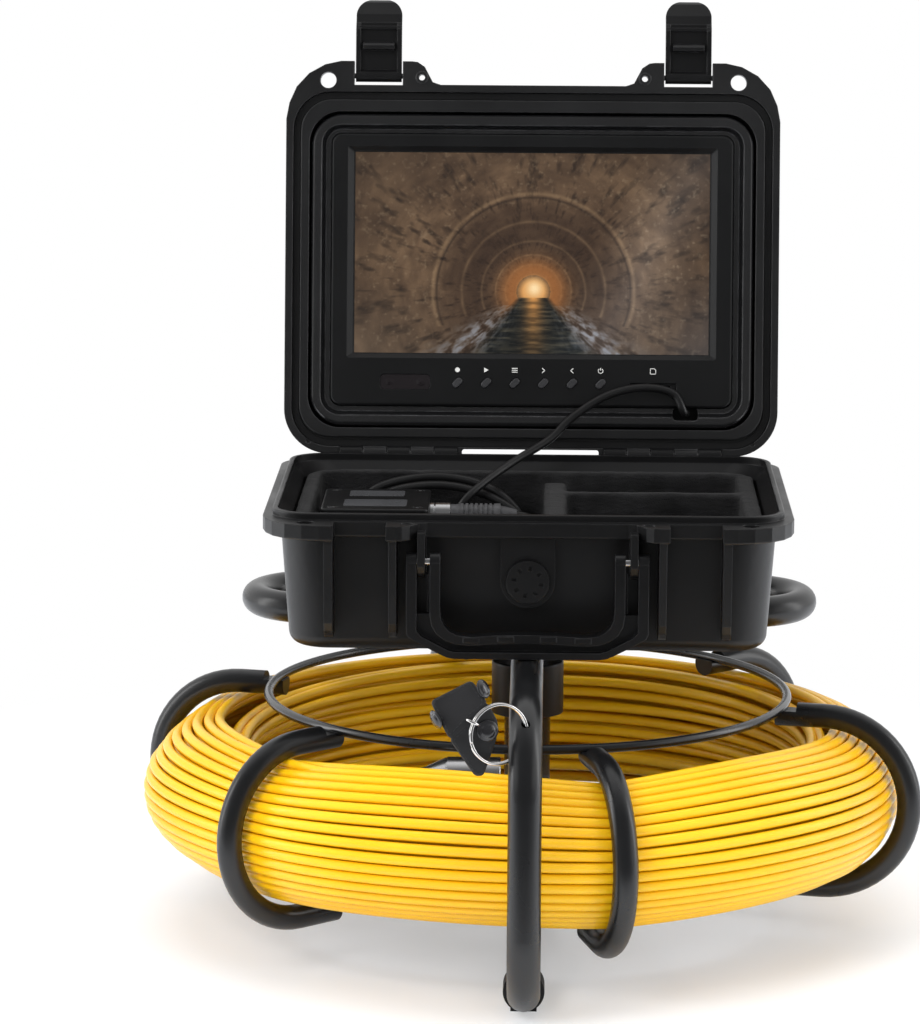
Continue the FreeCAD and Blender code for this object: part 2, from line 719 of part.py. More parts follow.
# ------------------------------------------------------------------ carrying handle and valve
# left halves of the handle's outlines: x, depth below the rim
handle_outline = [
    (-62.8, pivot_drop), (-62.8, 56.4), (-61.6, 58.8), (-57.5, 61.2), (-45.0, 67.6),
    (-41.5, 69.1), (-37.5, 69.8)]
handle_opening = [
    (-45.2, pivot_drop - 6), (-45.2, 44.0), (-44.6, 49.0), (-43.0, 52.6), (-40.4, 55.4),
    (-36.3, 57.4), (-29, 58.2), (-15, 57.2)]
groove_outer = [(-57.4, 46.9), (-57.4, 55.2), (-54.8, 58.2), (-41.0, 65.4), (-37.5, 66.3)]
groove_inner = [
    (-50.6, 46.9), (-49.6, 52.6), (-47.0, 57.0), (-42.4, 60.4), (-37.0, 62.2),
    (-29, 62.8), (-15, 61.8)]


def mirrored(points):
    """The right half of an outline, from the middle back out."""
    return [(-x, drop) for x, drop in reversed(points)]


def case_handle():
    """Handle hanging down at rest."""
    y_back, y_front = -105.2, -114.2
    outline = handle_outline + mirrored(handle_outline)
    plate = prism(below_rim(outline), y_back - y_front, "y", y_front)
    opening = handle_opening + [(0, 56.9)] + mirrored(handle_opening)
    handle = plate.cut(prism(below_rim(opening), 12, "y", y_front - 1))
    # each arm is split round its pivot lug
    for side in (-1, 1):
        handle = handle.cut(box(*span(side, 50.6, 57.4), y_front - 1, y_back + 1,
                                rim_z - 47.0, pivot_z + 6))
    # groove between the inner grip bar and the outer frame
    groove = groove_outer + mirrored(groove_outer) + [(-x, drop) for x, drop in groove_inner]
    groove += [(0, 61.4)] + groove_inner[::-1]
    handle = handle.cut(prism(below_rim(groove), 5.0, "y", y_front))
    eyes = []
    for side in (-1, 1):
        for inner, outer in ((45.2, 50.6), (57.4, 62.8)):
            x = span(side, inner, outer)[0]
            eyes.append(rod(4.5, (x, pivot_y, pivot_z), X, outer - inner))
    handle = union([handle] + eyes)
    # four shallow pads on the grip: centre x, rise
    for x, rise in ((-29, 0), (-11, 0.6), (11, 0.6), (29, 0)):
        handle = handle.fuse(box(x - 4.2, x + 4.2, y_front - 0.5, y_front + 2,
                                 rim_z - 61.27 + rise, rim_z - 58.39 + rise))
    return largest(handle.cut(rod(2.05, (-80, pivot_y, pivot_z), X, 160)))


def handle_pin(side):
    x0, x1 = span(side, 45.8, 62.2)
    return rod(2.0, (x0, pivot_y, pivot_z), X, x1 - x0)


def pressure_valve():
    """Cap with eight slots round its rim, and a stem into the case."""
    cap_t = 3.0
    front = valve_seat_y - cap_t
    cap = rod(11.6, (0, front, valve_z), Y, cap_t)
    cap = fillet(cap, 0.9, edges_at("y", front, closed=True))
    for k in range(8):
        slot = box(-0.9, 0.9, -102, -100, 6.0, 8.4)
        slot.translate(Vector(0, 0, valve_z))
        slot.rotate(Vector(0, 0, valve_z), Y, 45 * k + 10)
        cap = cap.cut(slot)
    return cap.fuse(rod(5.0, (0, valve_seat_y, valve_z), Y, 6.0)).removeSplitter()


save("case_handle", case_handle())
save("handle_pins", handle_pin(-1), handle_pin(1))
save("pressure_valve", pressure_valve())

# ------------------------------------------------------------------ foam and battery box
foam_z0, foam_z1 = case_bottom + wall + 6.0, rim_z - 3.5
pocket_z = foam_z0 + 4.0                  # floor of the foam's pockets
box_x0, box_x1 = -112.0, -54.0            # the connectors are on the face at box_x1
box_y0, box_y1 = -22.0, 44.0
box_z0, box_z1 = pocket_z + 0.3, 229.0
cover_h = 6
post_xy = [(x, y) for y in (box_y0 + 6, box_y1 - 6) for x in (box_x0 + 6, box_x1 - 6)]
# connector places: y, z
socket_at, rca_at, dc_at = (22.0, 218.5), (7.5, 216.0), (-4.0, 216.0)
knob_at, switch_at = (-7.5, 203.0), (6.0, 201.0)
plug_x = box_x1 + 11.2


def foam_insert():
    foam = taper(centred(120.5, 83.5, 16, foam_z0), centred(124.2, 88.6, 20, foam_z1))
    return foam.cut([block(-115.5, 8, -80, 80, pocket_z, foam_z1 + 5, 5),
                     block(20.5, 114, 20, 79, pocket_z, foam_z1 + 5, 5),
                     block(20.5, 114, -79, 13, pocket_z, foam_z1 + 5, 5),
                     box(7, 22, 48, 79, foam_z1 - 8, foam_z1 + 5)])


def battery_box_block(inset, z0, z1, radius):
    return block(box_x0 + inset, box_x1 - inset, box_y0 + inset, box_y1 - inset, z0, z1, radius)


def battery_box_shell():
    shell = battery_box_block(0, box_z0, box_z1 - cover_h, 3)
    shell = fillet(shell, 1.2, edges_at("z", box_z0))
    shell = shell.cut(battery_box_block(2, box_z0 + 2, box_z1, 2))
    for place, bore in ((socket_at, 6.0), (rca_at, 3.2), (dc_at, 2.8), (knob_at, 3.0)):
        shell = shell.cut(rod(bore, (box_x1 - 4, *place), X, 8))
    y, z = switch_at
    shell = shell.cut(box(box_x1 - 4, box_x1 + 2, y - 4.0, y + 4.0, z - 1.6, z + 1.6))
    for x, y in post_xy:
        post = rod(3.2, (x, y, box_z0 + 1), Z, box_z1 - 8 - box_z0 - 1)
        shell = shell.fuse(post).cut(rod(1.25, (x, y, box_z0 + 8), Z, 60))
    return shell


def battery_box_cover():
    cover = battery_box_block(0, box_z1 - cover_h, box_z1, 3)
    cover = fillet(cover, 1.2, edges_at("z", box_z1))
    cover = cover.cut(battery_box_block(2, box_z1 - 7, box_z1 - 2.2, 2))
    for x, y in post_xy:
        cover = cover.fuse(rod(3.2, (x, y, box_z1 - 8), Z, 6.5))
        cover = cover.cut([rod(1.6, (x, y, box_z1 - 9), Z, 12),
                           rod(2.9, (x, y, box_z1 - 2.2), Z, 4)])
    return largest(cover.cut(rod(6.0, (box_x1 - 4, *socket_at), X, 8)))


def battery_cell(k):
    return rod(9.2, (box_x0 + 16 + 19.5 * k, box_y0 + 12.5, box_z0 + 12), Y, 41.1)


def battery_board():
    z0, z1 = box_z0 + 23.5, box_z0 + 25.1
    board = box(box_x0 + 5, box_x1 - 7, box_y0 + 11, box_y1 - 11, z0, z1)
    return board.fuse([
        box(box_x0 + 12, box_x0 + 24, box_y0 + 16, box_y0 + 28, z1, box_z0 + 28),
        box(box_x0 + 30, box_x0 + 40, box_y0 + 30, box_y0 + 44, z1, box_z0 + 27.4)])


def aviation_socket():
    collar = tube(6.9, 5.2, (box_x1, *socket_at), X, 2.2)
    barrel = tube(6.0, 5.2, (box_x1 - 3.5, *socket_at), X, 14.5)
    socket = collar.fuse(barrel).removeSplitter()
    socket = socket.fuse(rod(5.2, (box_x1 - 3.5, *socket_at), X, 3.0))
    socket = socket.fuse(tube(6.9, 6.0, (box_x1 + 3.0, *socket_at), X, 8.0))
    return socket.removeSplitter()


def jack(place, bore, collar_r, collar_t, barrel_r, depth, barrel_length):
    collar = tube(collar_r, bore, (box_x1, *place), X, collar_t)
    barrel = tube(barrel_r, bore, (box_x1 - depth, *place), X, barrel_length)
    return collar.fuse(barrel).removeSplitter()


def dimmer_knob():
    y, z = knob_at
    knob = rod(6.2, (box_x1 + 1.0, y, z), X, 9.0)
    knob = fillet(knob, 0.8, edges_at("x", box_x1 + 10.0, closed=True))
    for k in range(18):
        angle = math.radians(20 * k)
        flute = (box_x1 + 2.5, y + 6.3 * math.cos(angle), z + 6.3 * math.sin(angle))
        knob = knob.cut(rod(0.55, flute, X, 9))
    return knob.fuse(rod(2.95, (box_x1 - 5, y, z), X, 6.5)).removeSplitter()


def power_switch():
    y, z = switch_at
    split_x = box_x1 - 2.05
    return union([box(box_x1 - 3.0, split_x, y - 5, y + 5, z - 1.5, z + 1.5),
                  box(split_x, box_x1 + 2.6, y - 3.6, y - 0.6, z - 1.5, z + 1.5)])


save("foam_insert", foam_insert())
save("battery_box_shell", battery_box_shell())
save("battery_box_cover", battery_box_cover())
save("battery_cells", battery_cell(0), battery_cell(1))
save("battery_board", battery_board())
save("aviation_socket", aviation_socket())
save("battery_jacks",
     jack(rca_at, bore=1.6, collar_r=4.6, collar_t=2.0, barrel_r=3.2, depth=4, barrel_length=12.0),
     jack(dc_at, bore=1.9, collar_r=4.2, collar_t=1.2, barrel_r=2.8, depth=6, barrel_length=7.2))
save("dimmer_knob", dimmer_knob())
save("power_switch", power_switch())

# ------------------------------------------------------------------ monitor (modelled closed)
monitor_shift = 3.5                       # offset of the monitor's parts along the lid
monitor_y = hinge_y - monitor_shift       # the monitor's own t = 0
button_t = 36.8
buttons = (("button_record", -41.3), ("button_play", -25.2), ("button_menu", -9.1),
           ("button_right", 7.0), ("button_left", 23.1), ("button_power", 39.2))


def panel(x0, x1, t0, t1, depth0, depth1, radius=0):
    """Block given by x, the monitor's t and depth into the lid."""
    extent = (x0, x1, monitor_y - t1, monitor_y - t0, rim_z + depth0, rim_z + depth1)
    return block(*extent, radius) if radius else box(*extent)


def at_button(shape, x, z):
    """Turn a button-shaped solid to its slant and move it to its place."""
    shape.rotate(Vector(0, 0, 0), Z, -45)
    shape.translate(Vector(x, monitor_y - button_t, z))
    return shape


def monitor_surround():
    surround = panel(-124.3, 124.3, 12.2, 187.6, 0.5, 9.0, 18)
    surround = fillet(surround, 2.6, edges_at("z", rim_z + 0.5))
    surround = surround.cut(taper(
        (-118.6, 118.6, monitor_y - 181.6, monitor_y - 18.2, 11, rim_z + 0.3),
        (-116.2, 116.2, monitor_y - 179.2, monitor_y - 20.6, 9, rim_z + 4.6)))
    surround = surround.cut(panel(-113.3, 113.3, 23.3, 177.1, -1, 12, 6))
    return surround.cut(panel(80.0, 94.0, 16.6, 23.6, -1, 12, 2))    # slot for the lead


def monitor_bezel():
    bezel = panel(-112.9, 112.9, 23.7, 176.7, 0.8, 34.0, 6)
    bezel = fillet(bezel, 1.6, edges_at("z", rim_z + 0.8))
    bezel = bezel.cut(panel(-110.4, 110.4, 26.2, 174.2, 5.0, 36.0, 4))
    # screen opening
    bezel = bezel.cut(taper(
        (-105.3, 105.3, monitor_y - 170.9, monitor_y - 49.6, 1.5, rim_z - 0.2),
        (-100.4, 100.4, monitor_y - 166.9, monitor_y - 52.9, 1.0, rim_z + 3.2)))
    bezel = bezel.cut(panel(-99.9, 99.9, 53.3, 166.5, 3.0, 6.0))
    for _, x in buttons:
        hole = centred_block(3.5, 2.2, 0, 12, 2.15)
        bezel = bezel.cut(at_button(hole, x, rim_z - 1))
    # infrared window, card slot, and a notch in the edge nearest the hinge
    bezel = bezel.cut(panel(-84.9, -56.4, 32.7, 41.6, -1, 8, 2.5))
    bezel = bezel.cut(panel(55.5, 81.8, 33.6, 37.4, -1, 8))
    return largest(bezel.cut(panel(83.0, 91.5, 22, 27.6, 9, 16)))


def lcd_panel():
    lcd = panel(-105.0, 105.0, 49.5, 170.5, 5.0, 11.0)
    return lcd.fuse(panel(-99.6, 99.6, 53.6, 166.2, 4.0, 5.0)).removeSplitter()


def monitor_board():
    board = panel(-92, 92, 60, 160, 17.0, 18.6)
    return board.fuse([panel(-60, -30, 80, 110, 18.6, 21.5),
                       panel(10, 34, 90, 114, 18.6, 21.0),
                       panel(50, 76, 130, 144, 18.6, 27)])


def monitor_back():
    """Back plate with four posts that reach the inside of the lid."""
    back = panel(-112.9, 112.9, 23.7, 176.7, 34.0, 36.5, 6)
    for x in (-96, 96):
        for t in (40, 160):
            back = back.fuse(panel(x - 5, x + 5, t - 5, t + 5, 36.5, lid_h - wall))
    return back.removeSplitter()


def card_slot():
    return panel(55.7, 81.6, 33.8, 37.2, 2.4, 8.0).cut(panel(58.7, 78.6, 34.9, 36.1, 0, 7.0))


def button(x):
    key = centred_block(3.25, 1.95, 0, 6.0, 1.9)
    key = fillet(key, 0.7, edges_at("z", 0, 0.01))
    key = key.fuse(centred_block(4.2, 2.8, 6.0, 7.2, 2.0)).removeSplitter()
    return at_button(key, x, rim_z - 0.1)


save("monitor_surround", open_lid(monitor_surround()))
save("monitor_bezel", open_lid(monitor_bezel()))
save("lcd_panel", open_lid(lcd_panel()))
save("monitor_board", open_lid(monitor_board()))
save("monitor_back", open_lid(monitor_back()))
save("ir_window", open_lid(panel(-84.7, -56.6, 32.9, 41.4, 1.3, 5.0, 2.3)))
save("card_slot", open_lid(card_slot()))
for name, button_x in buttons:
    save(name, open_lid(button(button_x)))

# ------------------------------------------------------------------ monitor lead and plug
lead_r = 2.25
# x, y, z of the lead's free run over the case to the battery box
lead_run = [
    (80.5, 103.6, 274.0), (64.3, 101.0, 278.0), (43.6, 97.0, 274.2), (23.0, 90.0, 262.0),
    (11.6, 84.0, 251.5), (-8.5, 71.0, 240.6), (-22.5, 58.0, 232.6), (-34.0, 46.0, 224.0),
    (-41.5, 39.0, 214.0), (-42, 44, 202), (-28, 56, 195), (-9, 58, 196.5),
    (2.6, 48.5, 202.0), (4.6, 36.0, 209.8), (2.4, 26.6, 215.8), (-3.6, 22.3, 218.3)]


def open_lid_point(x, t, depth):
    """Point on the open lid, from its x, t and depth in the closed lid."""
    angle = math.radians(-lid_open_deg)
    y, z = -t, depth - hinge_up
    return Vector(x, hinge_y + y * math.cos(angle) - z * math.sin(angle),
                  hinge_z + y * math.sin(angle) + z * math.cos(angle))


def lead_rod(radius):
    """Rod along the lead, from the lower edge of the monitor to the plug."""
    exit_t = 20.5 + monitor_shift
    points = [open_lid_point(87.2, exit_t, 6.0), open_lid_point(87.1, exit_t, -0.5),
              open_lid_point(85.6, 25.4, -5.2)]
    points += [Vector(*point) for point in lead_run]
    points.append(Vector(plug_x + 32.0, *socket_at))
    curve = Part.BSplineCurve()
    curve.interpolate(points)
    tangent = curve.tangent(curve.FirstParameter)[0]
    return swept_rod(Part.Wire(curve.toShape()), radius, points[0], tangent)


def aviation_plug():
    plug = rod(5.9, (plug_x, *socket_at), X, 5.2)
    plug = plug.fuse(rod(6.5, (plug_x + 5.2, *socket_at), X, 22.0))
    plug = plug.fuse(Part.makeCone(5.4, 3.4, 9.0, Vector(plug_x + 27.2, *socket_at), X))
    for k in range(7):      # grip grooves
        plug = plug.cut(tube(8, 5.8, (plug_x + 7.0 + 2.6 * k, *socket_at), X, 1.1))
    plug = plug.cut(rod(lead_r + 0.5, (plug_x + 24, *socket_at), X, 20))
    return largest(plug.removeSplitter().cut(lead_rod(lead_r + 0.2)))


save("monitor_cable", lead_rod(lead_r))
save("aviation_plug", aviation_plug())

# ------------------------------------------------------------------ cable keeper
strap_t = 2.0


def flat_plate(outline, plane):
    """Plate on the plane through three points, thickened to the back (+Y)."""
    origin, second, third = plane
    normal = (second - origin).cross(third - origin)
    normal.normalize()
    if normal.dot(Y) < 0:
        normal = normal * -1
    flat = [point - normal * ((point - origin).dot(normal)) for point in outline]
    return Part.Face(Part.makePolygon(flat + [flat[0]])).extrude(normal * strap_t)


def keeper_strap():
    """Leather fob over the ring: a flap that lies back and a tab that hangs."""
    fold_left, fold_right = Vector(-37.6, -238, 149.8), Vector(-18.9, -238, 168.1)
    flap_right, flap_left = Vector(-26.8, -227, 177.7), Vector(-47.4, -227, 166.9)
    tip_left, tip_right = Vector(-25.0, -234.5, 130.4), Vector(-20.6, -234.5, 130.4)
    side_low, side_high = Vector(-14.2, -236, 149.5), Vector(-13.6, -237, 158.0)
    flap = flat_plate([fold_left, fold_right, flap_right, flap_left],
                      (fold_left, fold_right, flap_right))
    tab = flat_plate([fold_left, tip_left, tip_right, side_low, side_high, fold_right],
                     (fold_left, tip_left, fold_right))
    axis = fold_right - fold_left
    fold = Part.makeCylinder(2.0, axis.Length, fold_left + Vector(0, 0.6, 0), axis)
    strap = flap.fuse([tab, fold])
    return largest(strap.cut(
        Part.makeTorus(keeper_r, keeper_wire + 1.0, keeper_centre, keeper_normal)))


save("keeper_ring", Part.makeTorus(keeper_r, keeper_wire, keeper_centre, keeper_normal))
save("keeper_strap", keeper_strap())
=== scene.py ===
# A pipe inspection kit: a basket holding a coiled push cable, with a monitor in the lid of a case.
# x runs across, -y is the front, z is up and the floor is z = 0. The coil circles the z axis, and
# the lid stands open on a hinge line along x behind it. Lengths are in millimetres unless a
# comment says metres; material sizes, lights and the stage are in metres.
import json
import math
import bpy
import bmesh
import numpy as np
from mathutils import Vector, Matrix, noise as mnoise


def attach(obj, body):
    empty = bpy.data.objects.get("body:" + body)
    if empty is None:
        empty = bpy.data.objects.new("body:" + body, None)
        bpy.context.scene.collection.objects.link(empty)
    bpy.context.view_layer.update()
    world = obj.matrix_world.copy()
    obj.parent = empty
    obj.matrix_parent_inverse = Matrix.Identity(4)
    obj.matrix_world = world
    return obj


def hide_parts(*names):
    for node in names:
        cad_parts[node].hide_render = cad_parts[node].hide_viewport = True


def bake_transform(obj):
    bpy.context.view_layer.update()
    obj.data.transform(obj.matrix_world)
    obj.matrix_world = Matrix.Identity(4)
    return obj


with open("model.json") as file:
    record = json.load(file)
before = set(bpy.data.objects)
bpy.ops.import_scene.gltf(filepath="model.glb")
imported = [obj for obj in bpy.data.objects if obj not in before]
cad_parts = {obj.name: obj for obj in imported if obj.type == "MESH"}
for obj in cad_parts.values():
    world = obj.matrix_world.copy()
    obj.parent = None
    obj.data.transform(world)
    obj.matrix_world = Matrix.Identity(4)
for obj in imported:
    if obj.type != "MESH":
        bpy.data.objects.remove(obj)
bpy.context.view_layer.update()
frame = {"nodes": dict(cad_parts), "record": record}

NODES = frame["nodes"]
MM = 0.001

# the open lid
HINGE_Y, HINGE_Z = 103.75, 238.7
HINGE_DEPTH = 2.2                # hinge line, measured into the lid from its parting plane
LID_ANGLE = math.radians(99.0)

# the push cable
COIL_R, COIL_Z = 163.65, 74.65   # centre of the coil's cross-section
CABLE_R = 2.72


def lid_point(x, along, depth):
    """Metres. x across, along from the hinge line, depth into the lid from its parting plane."""
    y, z = -along, depth - HINGE_DEPTH
    cos, sin = math.cos(-LID_ANGLE), math.sin(-LID_ANGLE)
    return Vector((x, HINGE_Y + y * cos - z * sin, HINGE_Z + y * sin + z * cos)) * MM


LID_ACROSS = Vector((1, 0, 0))
LID_ALONG = (lid_point(0, 1, 0) - lid_point(0, 0, 0)).normalized()
LID_INWARD = (lid_point(0, 0, 1) - lid_point(0, 0, 0)).normalized()


# ----------------------------------------------------------------- shader tools
class Shader:
    """The node tree of a material or world, with short ways to add nodes."""

    def __init__(self, owner, output_kind):
        owner.use_nodes = True
        self.tree = owner.node_tree
        self.tree.nodes.clear()
        self.surface = self.node(output_kind).inputs[0]

    def node(self, kind, **settings):
        node = self.tree.nodes.new(kind)
        for key, value in settings.items():
            setattr(node, key, value)
        return node

    def feed(self, socket, value):
        """Link a socket, or set its value; colours are given without alpha."""
        if isinstance(value, bpy.types.NodeSocket):
            self.tree.links.new(value, socket)
        elif socket.type == "RGBA":
            socket.default_value = (*value, 1.0)
        else:
            socket.default_value = value

    def axes(self, space):
        """The x, y and z of a texture coordinate."""
        split = self.node("ShaderNodeSeparateXYZ")
        self.feed(split.inputs[0], self.node("ShaderNodeTexCoord").outputs[space])
        return split.outputs[0], split.outputs[1], split.outputs[2]

    def remap(self, source, span=(0.3, 0.7), to=(0.0, 1.0), interpolation="LINEAR"):
        """Map span onto to; the default span is where most of a noise lies."""
        node = self.node("ShaderNodeMapRange", interpolation_type=interpolation)
        for i, value in enumerate((*span, *to), 1):
            node.inputs[i].default_value = value
        self.feed(node.inputs[0], source)
        return node.outputs[0]

    def math(self, operation, *values):
        node = self.node("ShaderNodeMath", operation=operation)
        for socket, value in zip(node.inputs, values):
            self.feed(socket, value)
        return node.outputs[0]

    def glow(self, kind, strength):
        """A white Emission or Background node."""
        node = self.node(kind)
        self.feed(node.inputs[0], (1, 1, 1))
        self.feed(node.inputs[1], strength)
        return node.outputs[0]

    def mix_shader(self, factor, first, second):
        node = self.node("ShaderNodeMixShader")
        for socket, value in zip(node.inputs, (factor, first, second)):
            self.feed(socket, value)
        return node.outputs[0]


class Material(Shader):
    def __init__(self, name):
        self.data = bpy.data.materials.new(name)
        super().__init__(self.data, "ShaderNodeOutputMaterial")
        self.bsdf = self.node("ShaderNodeBsdfPrincipled")
        self.feed(self.surface, self.bsdf.outputs[0])
        self.position = self.node("ShaderNodeTexCoord").outputs["Object"]

    def principled(self, inputs):
        for key, value in inputs.items():
            self.feed(self.bsdf.inputs[key], value)

    def scaled(self, scale):
        node = self.node("ShaderNodeMapping")
        node.inputs["Scale"].default_value = scale
        self.feed(node.inputs[0], self.position)
        return node.outputs[0]

    def noise(self, scale, detail=3.0, rough=0.55, vector=None, distortion=0.0):
        node = self.node("ShaderNodeTexNoise")
        node.inputs["Scale"].default_value = scale
        node.inputs["Detail"].default_value = detail
        node.inputs["Roughness"].default_value = rough
        node.inputs["Distortion"].default_value = distortion
        self.feed(node.inputs["Vector"], vector or self.position)
        return node.outputs[0]

    def voronoi(self, scale, feature):
        node = self.node("ShaderNodeTexVoronoi", feature=feature)
        node.inputs["Scale"].default_value = scale
        node.inputs["Randomness"].default_value = 1.0
        self.feed(node.inputs["Vector"], self.position)
        return node.outputs["Distance"]

    def mix(self, factor, first, second, blend="MIX"):
        node = self.node("ShaderNodeMix", data_type="RGBA", blend_type=blend)
        for i, value in ((0, factor), (6, first), (7, second)):
            self.feed(node.inputs[i], value)
        return node.outputs[2]

    def bump(self, height, strength, depth, normal=None):
        node = self.node("ShaderNodeBump")
        node.inputs["Strength"].default_value = strength
        node.inputs["Distance"].default_value = depth
        self.feed(node.inputs["Height"], height)
        if normal is not None:
            self.feed(node.inputs["Normal"], normal)
        return node.outputs[0]

    def bevel(self, radius):
        node = self.node("ShaderNodeBevel", samples=4)
        node.inputs["Radius"].default_value = radius
        return node.outputs[0]

    def edge_mask(self, bevel_normal):
        """1 near a convex or concave edge, 0 on open surface."""
        dot = self.node("ShaderNodeVectorMath", operation="DOT_PRODUCT")
        self.feed(dot.inputs[0], bevel_normal)
        self.feed(dot.inputs[1], self.node("ShaderNodeNewGeometry").outputs["Normal"])
        return self.remap(self.math("SUBTRACT", 1.0, dot.outputs["Value"]), span=(0.02, 0.3))


def finish(name, colour, rough, grain, metal=0.0, drift_scale=22.0, rough_drift=0.10,
           colour_drift=0.18, bevel=0.0, edge=None, scuffs=0.0, spec=0.5, coat=0.0,
           coat_rough=0.1, sheen=0.0, sss=0.0, transmission=0.0, ior=1.5):
    """A surface whose colour and roughness drift slowly, with a fine bumped grain.

    grain is (noise scale or height function, bump strength, bump depth in metres);
    bevel is the shaded edge radius in metres; edge is the lighter colour painted on edges, partly
    wear and partly a painted highlight.
    """
    mat = Material(name)
    drift = mat.noise(drift_scale, detail=4.0, rough=0.6)
    dark = tuple(c * (1 - colour_drift) for c in colour)
    light = tuple(min(1.0, c * (1 + colour_drift)) for c in colour)
    base = mat.mix(mat.remap(drift), dark, light)
    roughness = mat.remap(drift, to=(rough - rough_drift / 2, rough + rough_drift / 2))
    normal = mat.bevel(bevel) if bevel else None
    # painted highlight and wear: a lighter colour along convex and concave edges found by the
    # bevel normal
    if edge is not None:
        breakup = mat.remap(mat.noise(160.0, rough=0.6), span=(0.35, 0.65), to=(0.25, 1.0))
        wear_and_highlight = mat.math("MULTIPLY", mat.edge_mask(normal), breakup)
        base = mat.mix(wear_and_highlight, base, edge)
        roughness = mat.math("SUBTRACT", roughness, mat.math("MULTIPLY", wear_and_highlight, 0.08))
    if scuffs:
        streaks = mat.noise(60.0, detail=6.0, rough=0.75, vector=mat.scaled((1.0, 1.0, 5.0)),
                            distortion=0.6)
        marks = mat.remap(streaks, span=(0.60, 0.72), to=(0.0, scuffs))
        roughness = mat.math("ADD", roughness, marks)
        pale = tuple(min(1, c * 1.6 + 0.02) for c in colour)
        base = mat.mix(mat.math("MULTIPLY", marks, 0.25), base, pale)
    texture, strength, depth = grain
    height = texture(mat) if callable(texture) else mat.noise(texture, detail=2.0, rough=0.5)
    mat.principled({
        "Base Color": base,
        "Roughness": roughness,
        "Normal": mat.bump(height, strength, depth, normal),
        "Metallic": metal,
        "Specular IOR Level": spec,
        "Coat Weight": coat,
        "Coat Roughness": coat_rough,
        "Sheen Weight": sheen,
        "Transmission Weight": transmission,
        "IOR": ior,
    })
    if sss:
        mat.principled({
            "Subsurface Weight": sss,
            "Subsurface Radius": (0.004, 0.002, 0.0005),
            "Subsurface Scale": 0.5,
        })
    mat.data.diffuse_color = (*colour, 1.0)
    return mat.data


# ----------------------------------------------------------------- grain height functions
def leather_height(mat):
    cells = mat.math("MULTIPLY", mat.voronoi(900.0, "DISTANCE_TO_EDGE"), 0.7)
    pores = mat.math("MULTIPLY", mat.noise(2500.0, detail=2.0), 0.4)
    return mat.math("ADD", cells, pores)


def foam_height(mat):
    """Open cells, wavy horizontal cut marks and torn streaks."""
    cut = mat.node("ShaderNodeTexWave", wave_type="BANDS", bands_direction="Z")
    cut.inputs["Scale"].default_value = 105.0
    cut.inputs["Distortion"].default_value = 16.0
    cut.inputs["Detail"].default_value = 4.0
    cut.inputs["Detail Scale"].default_value = 0.6
    mat.feed(cut.inputs["Vector"], mat.scaled((0.9, 0.9, 1.0)))
    cuts = mat.math("MULTIPLY", cut.outputs["Fac"], 0.22)
    cells = mat.math("MULTIPLY", mat.voronoi(1500.0, "F1"), 0.6)
    tear = mat.noise(1.0, detail=5.0, rough=0.75, vector=mat.scaled((60.0, 60.0, 260.0)),
                     distortion=1.2)
    return mat.math("ADD", mat.math("ADD", cuts, cells), mat.math("MULTIPLY", tear, 1.0))


def brushed(axis):
    """Fine lines running along one axis."""
    scale = [2200.0, 2200.0, 2200.0]
    scale[axis] = 60.0

    def height(mat):
        return mat.noise(1.0, detail=2.0, rough=0.6, vector=mat.scaled(tuple(scale)))
    return height


# ----------------------------------------------------------------- special materials
def cable_material():
    """Bright satin PVC with slight colour drift, a fine grain, handling marks and painted shade in
    the grooves between turns.
    """
    mat = Material("cable_pvc")
    drift = mat.remap(mat.noise(9.0, rough=0.6))
    base = mat.mix(drift, (0.85, 0.455, 0.0035), (0.925, 0.54, 0.0075))
    fine = mat.noise(420.0, rough=0.6)
    scratches = mat.noise(75.0, detail=5.0, rough=0.7, vector=mat.scaled((0.7, 0.7, 3.0)),
                          distortion=0.8)
    marks = mat.remap(scratches, span=(0.66, 0.76), to=(0.0, 0.35))
    base = mat.mix(marks, base, (0.66, 0.42, 0.02))
    # painted shade: a deeper yellow in the grooves between turns, found by ambient occlusion
    occlusion = mat.node("ShaderNodeAmbientOcclusion", samples=6)
    occlusion.inputs["Distance"].default_value = 0.0026
    groove_shade_inverse = mat.remap(occlusion.outputs["AO"], span=(0.25, 0.85))
    mat.principled({
        "Base Color": mat.mix(groove_shade_inverse, (0.83, 0.45, 0.003), base),
        "Roughness": mat.remap(fine, to=(0.30, 0.42)),
        "Normal": mat.bump(fine, strength=0.06, depth=0.0003),
        "Specular IOR Level": 0.45,
        "Subsurface Weight": 0.08,
        "Subsurface Radius": (0.003, 0.0015, 0.0002),
        "Subsurface Scale": 0.5,
        "Coat Weight": 0.12,
        "Coat Roughness": 0.25,
    })
    mat.data.diffuse_color = (0.9, 0.55, 0.01, 1)
    return mat.data


def plug_material():
    """Bare metal on the plug's -x part, dark rubber on its +x part."""
    mat = Material("plug_two_part")
    rubber = mat.remap(mat.axes("Object")[0], span=(-0.0448, -0.0446))
    grime = mat.remap(mat.noise(300.0, detail=4.0, rough=0.6), span=(0.35, 0.65))
    metal = mat.mix(grime, (0.50, 0.50, 0.51), (0.68, 0.68, 0.69))
    boot = mat.mix(grime, (0.030, 0.030, 0.032), (0.050, 0.050, 0.053))
    grain = mat.noise(1700.0, detail=2.0, rough=0.5)
    mat.principled({
        "Base Color": mat.mix(rubber, metal, boot),
        "Metallic": mat.math("SUBTRACT", 1.0, rubber),
        "Roughness": mat.remap(rubber, span=(0.0, 1.0), to=(0.24, 0.52)),
        "Normal": mat.bump(grain, strength=0.15, depth=0.0001, normal=mat.bevel(0.0003)),
    })
    mat.data.diffuse_color = (0.3, 0.3, 0.3, 1)
    return mat.data


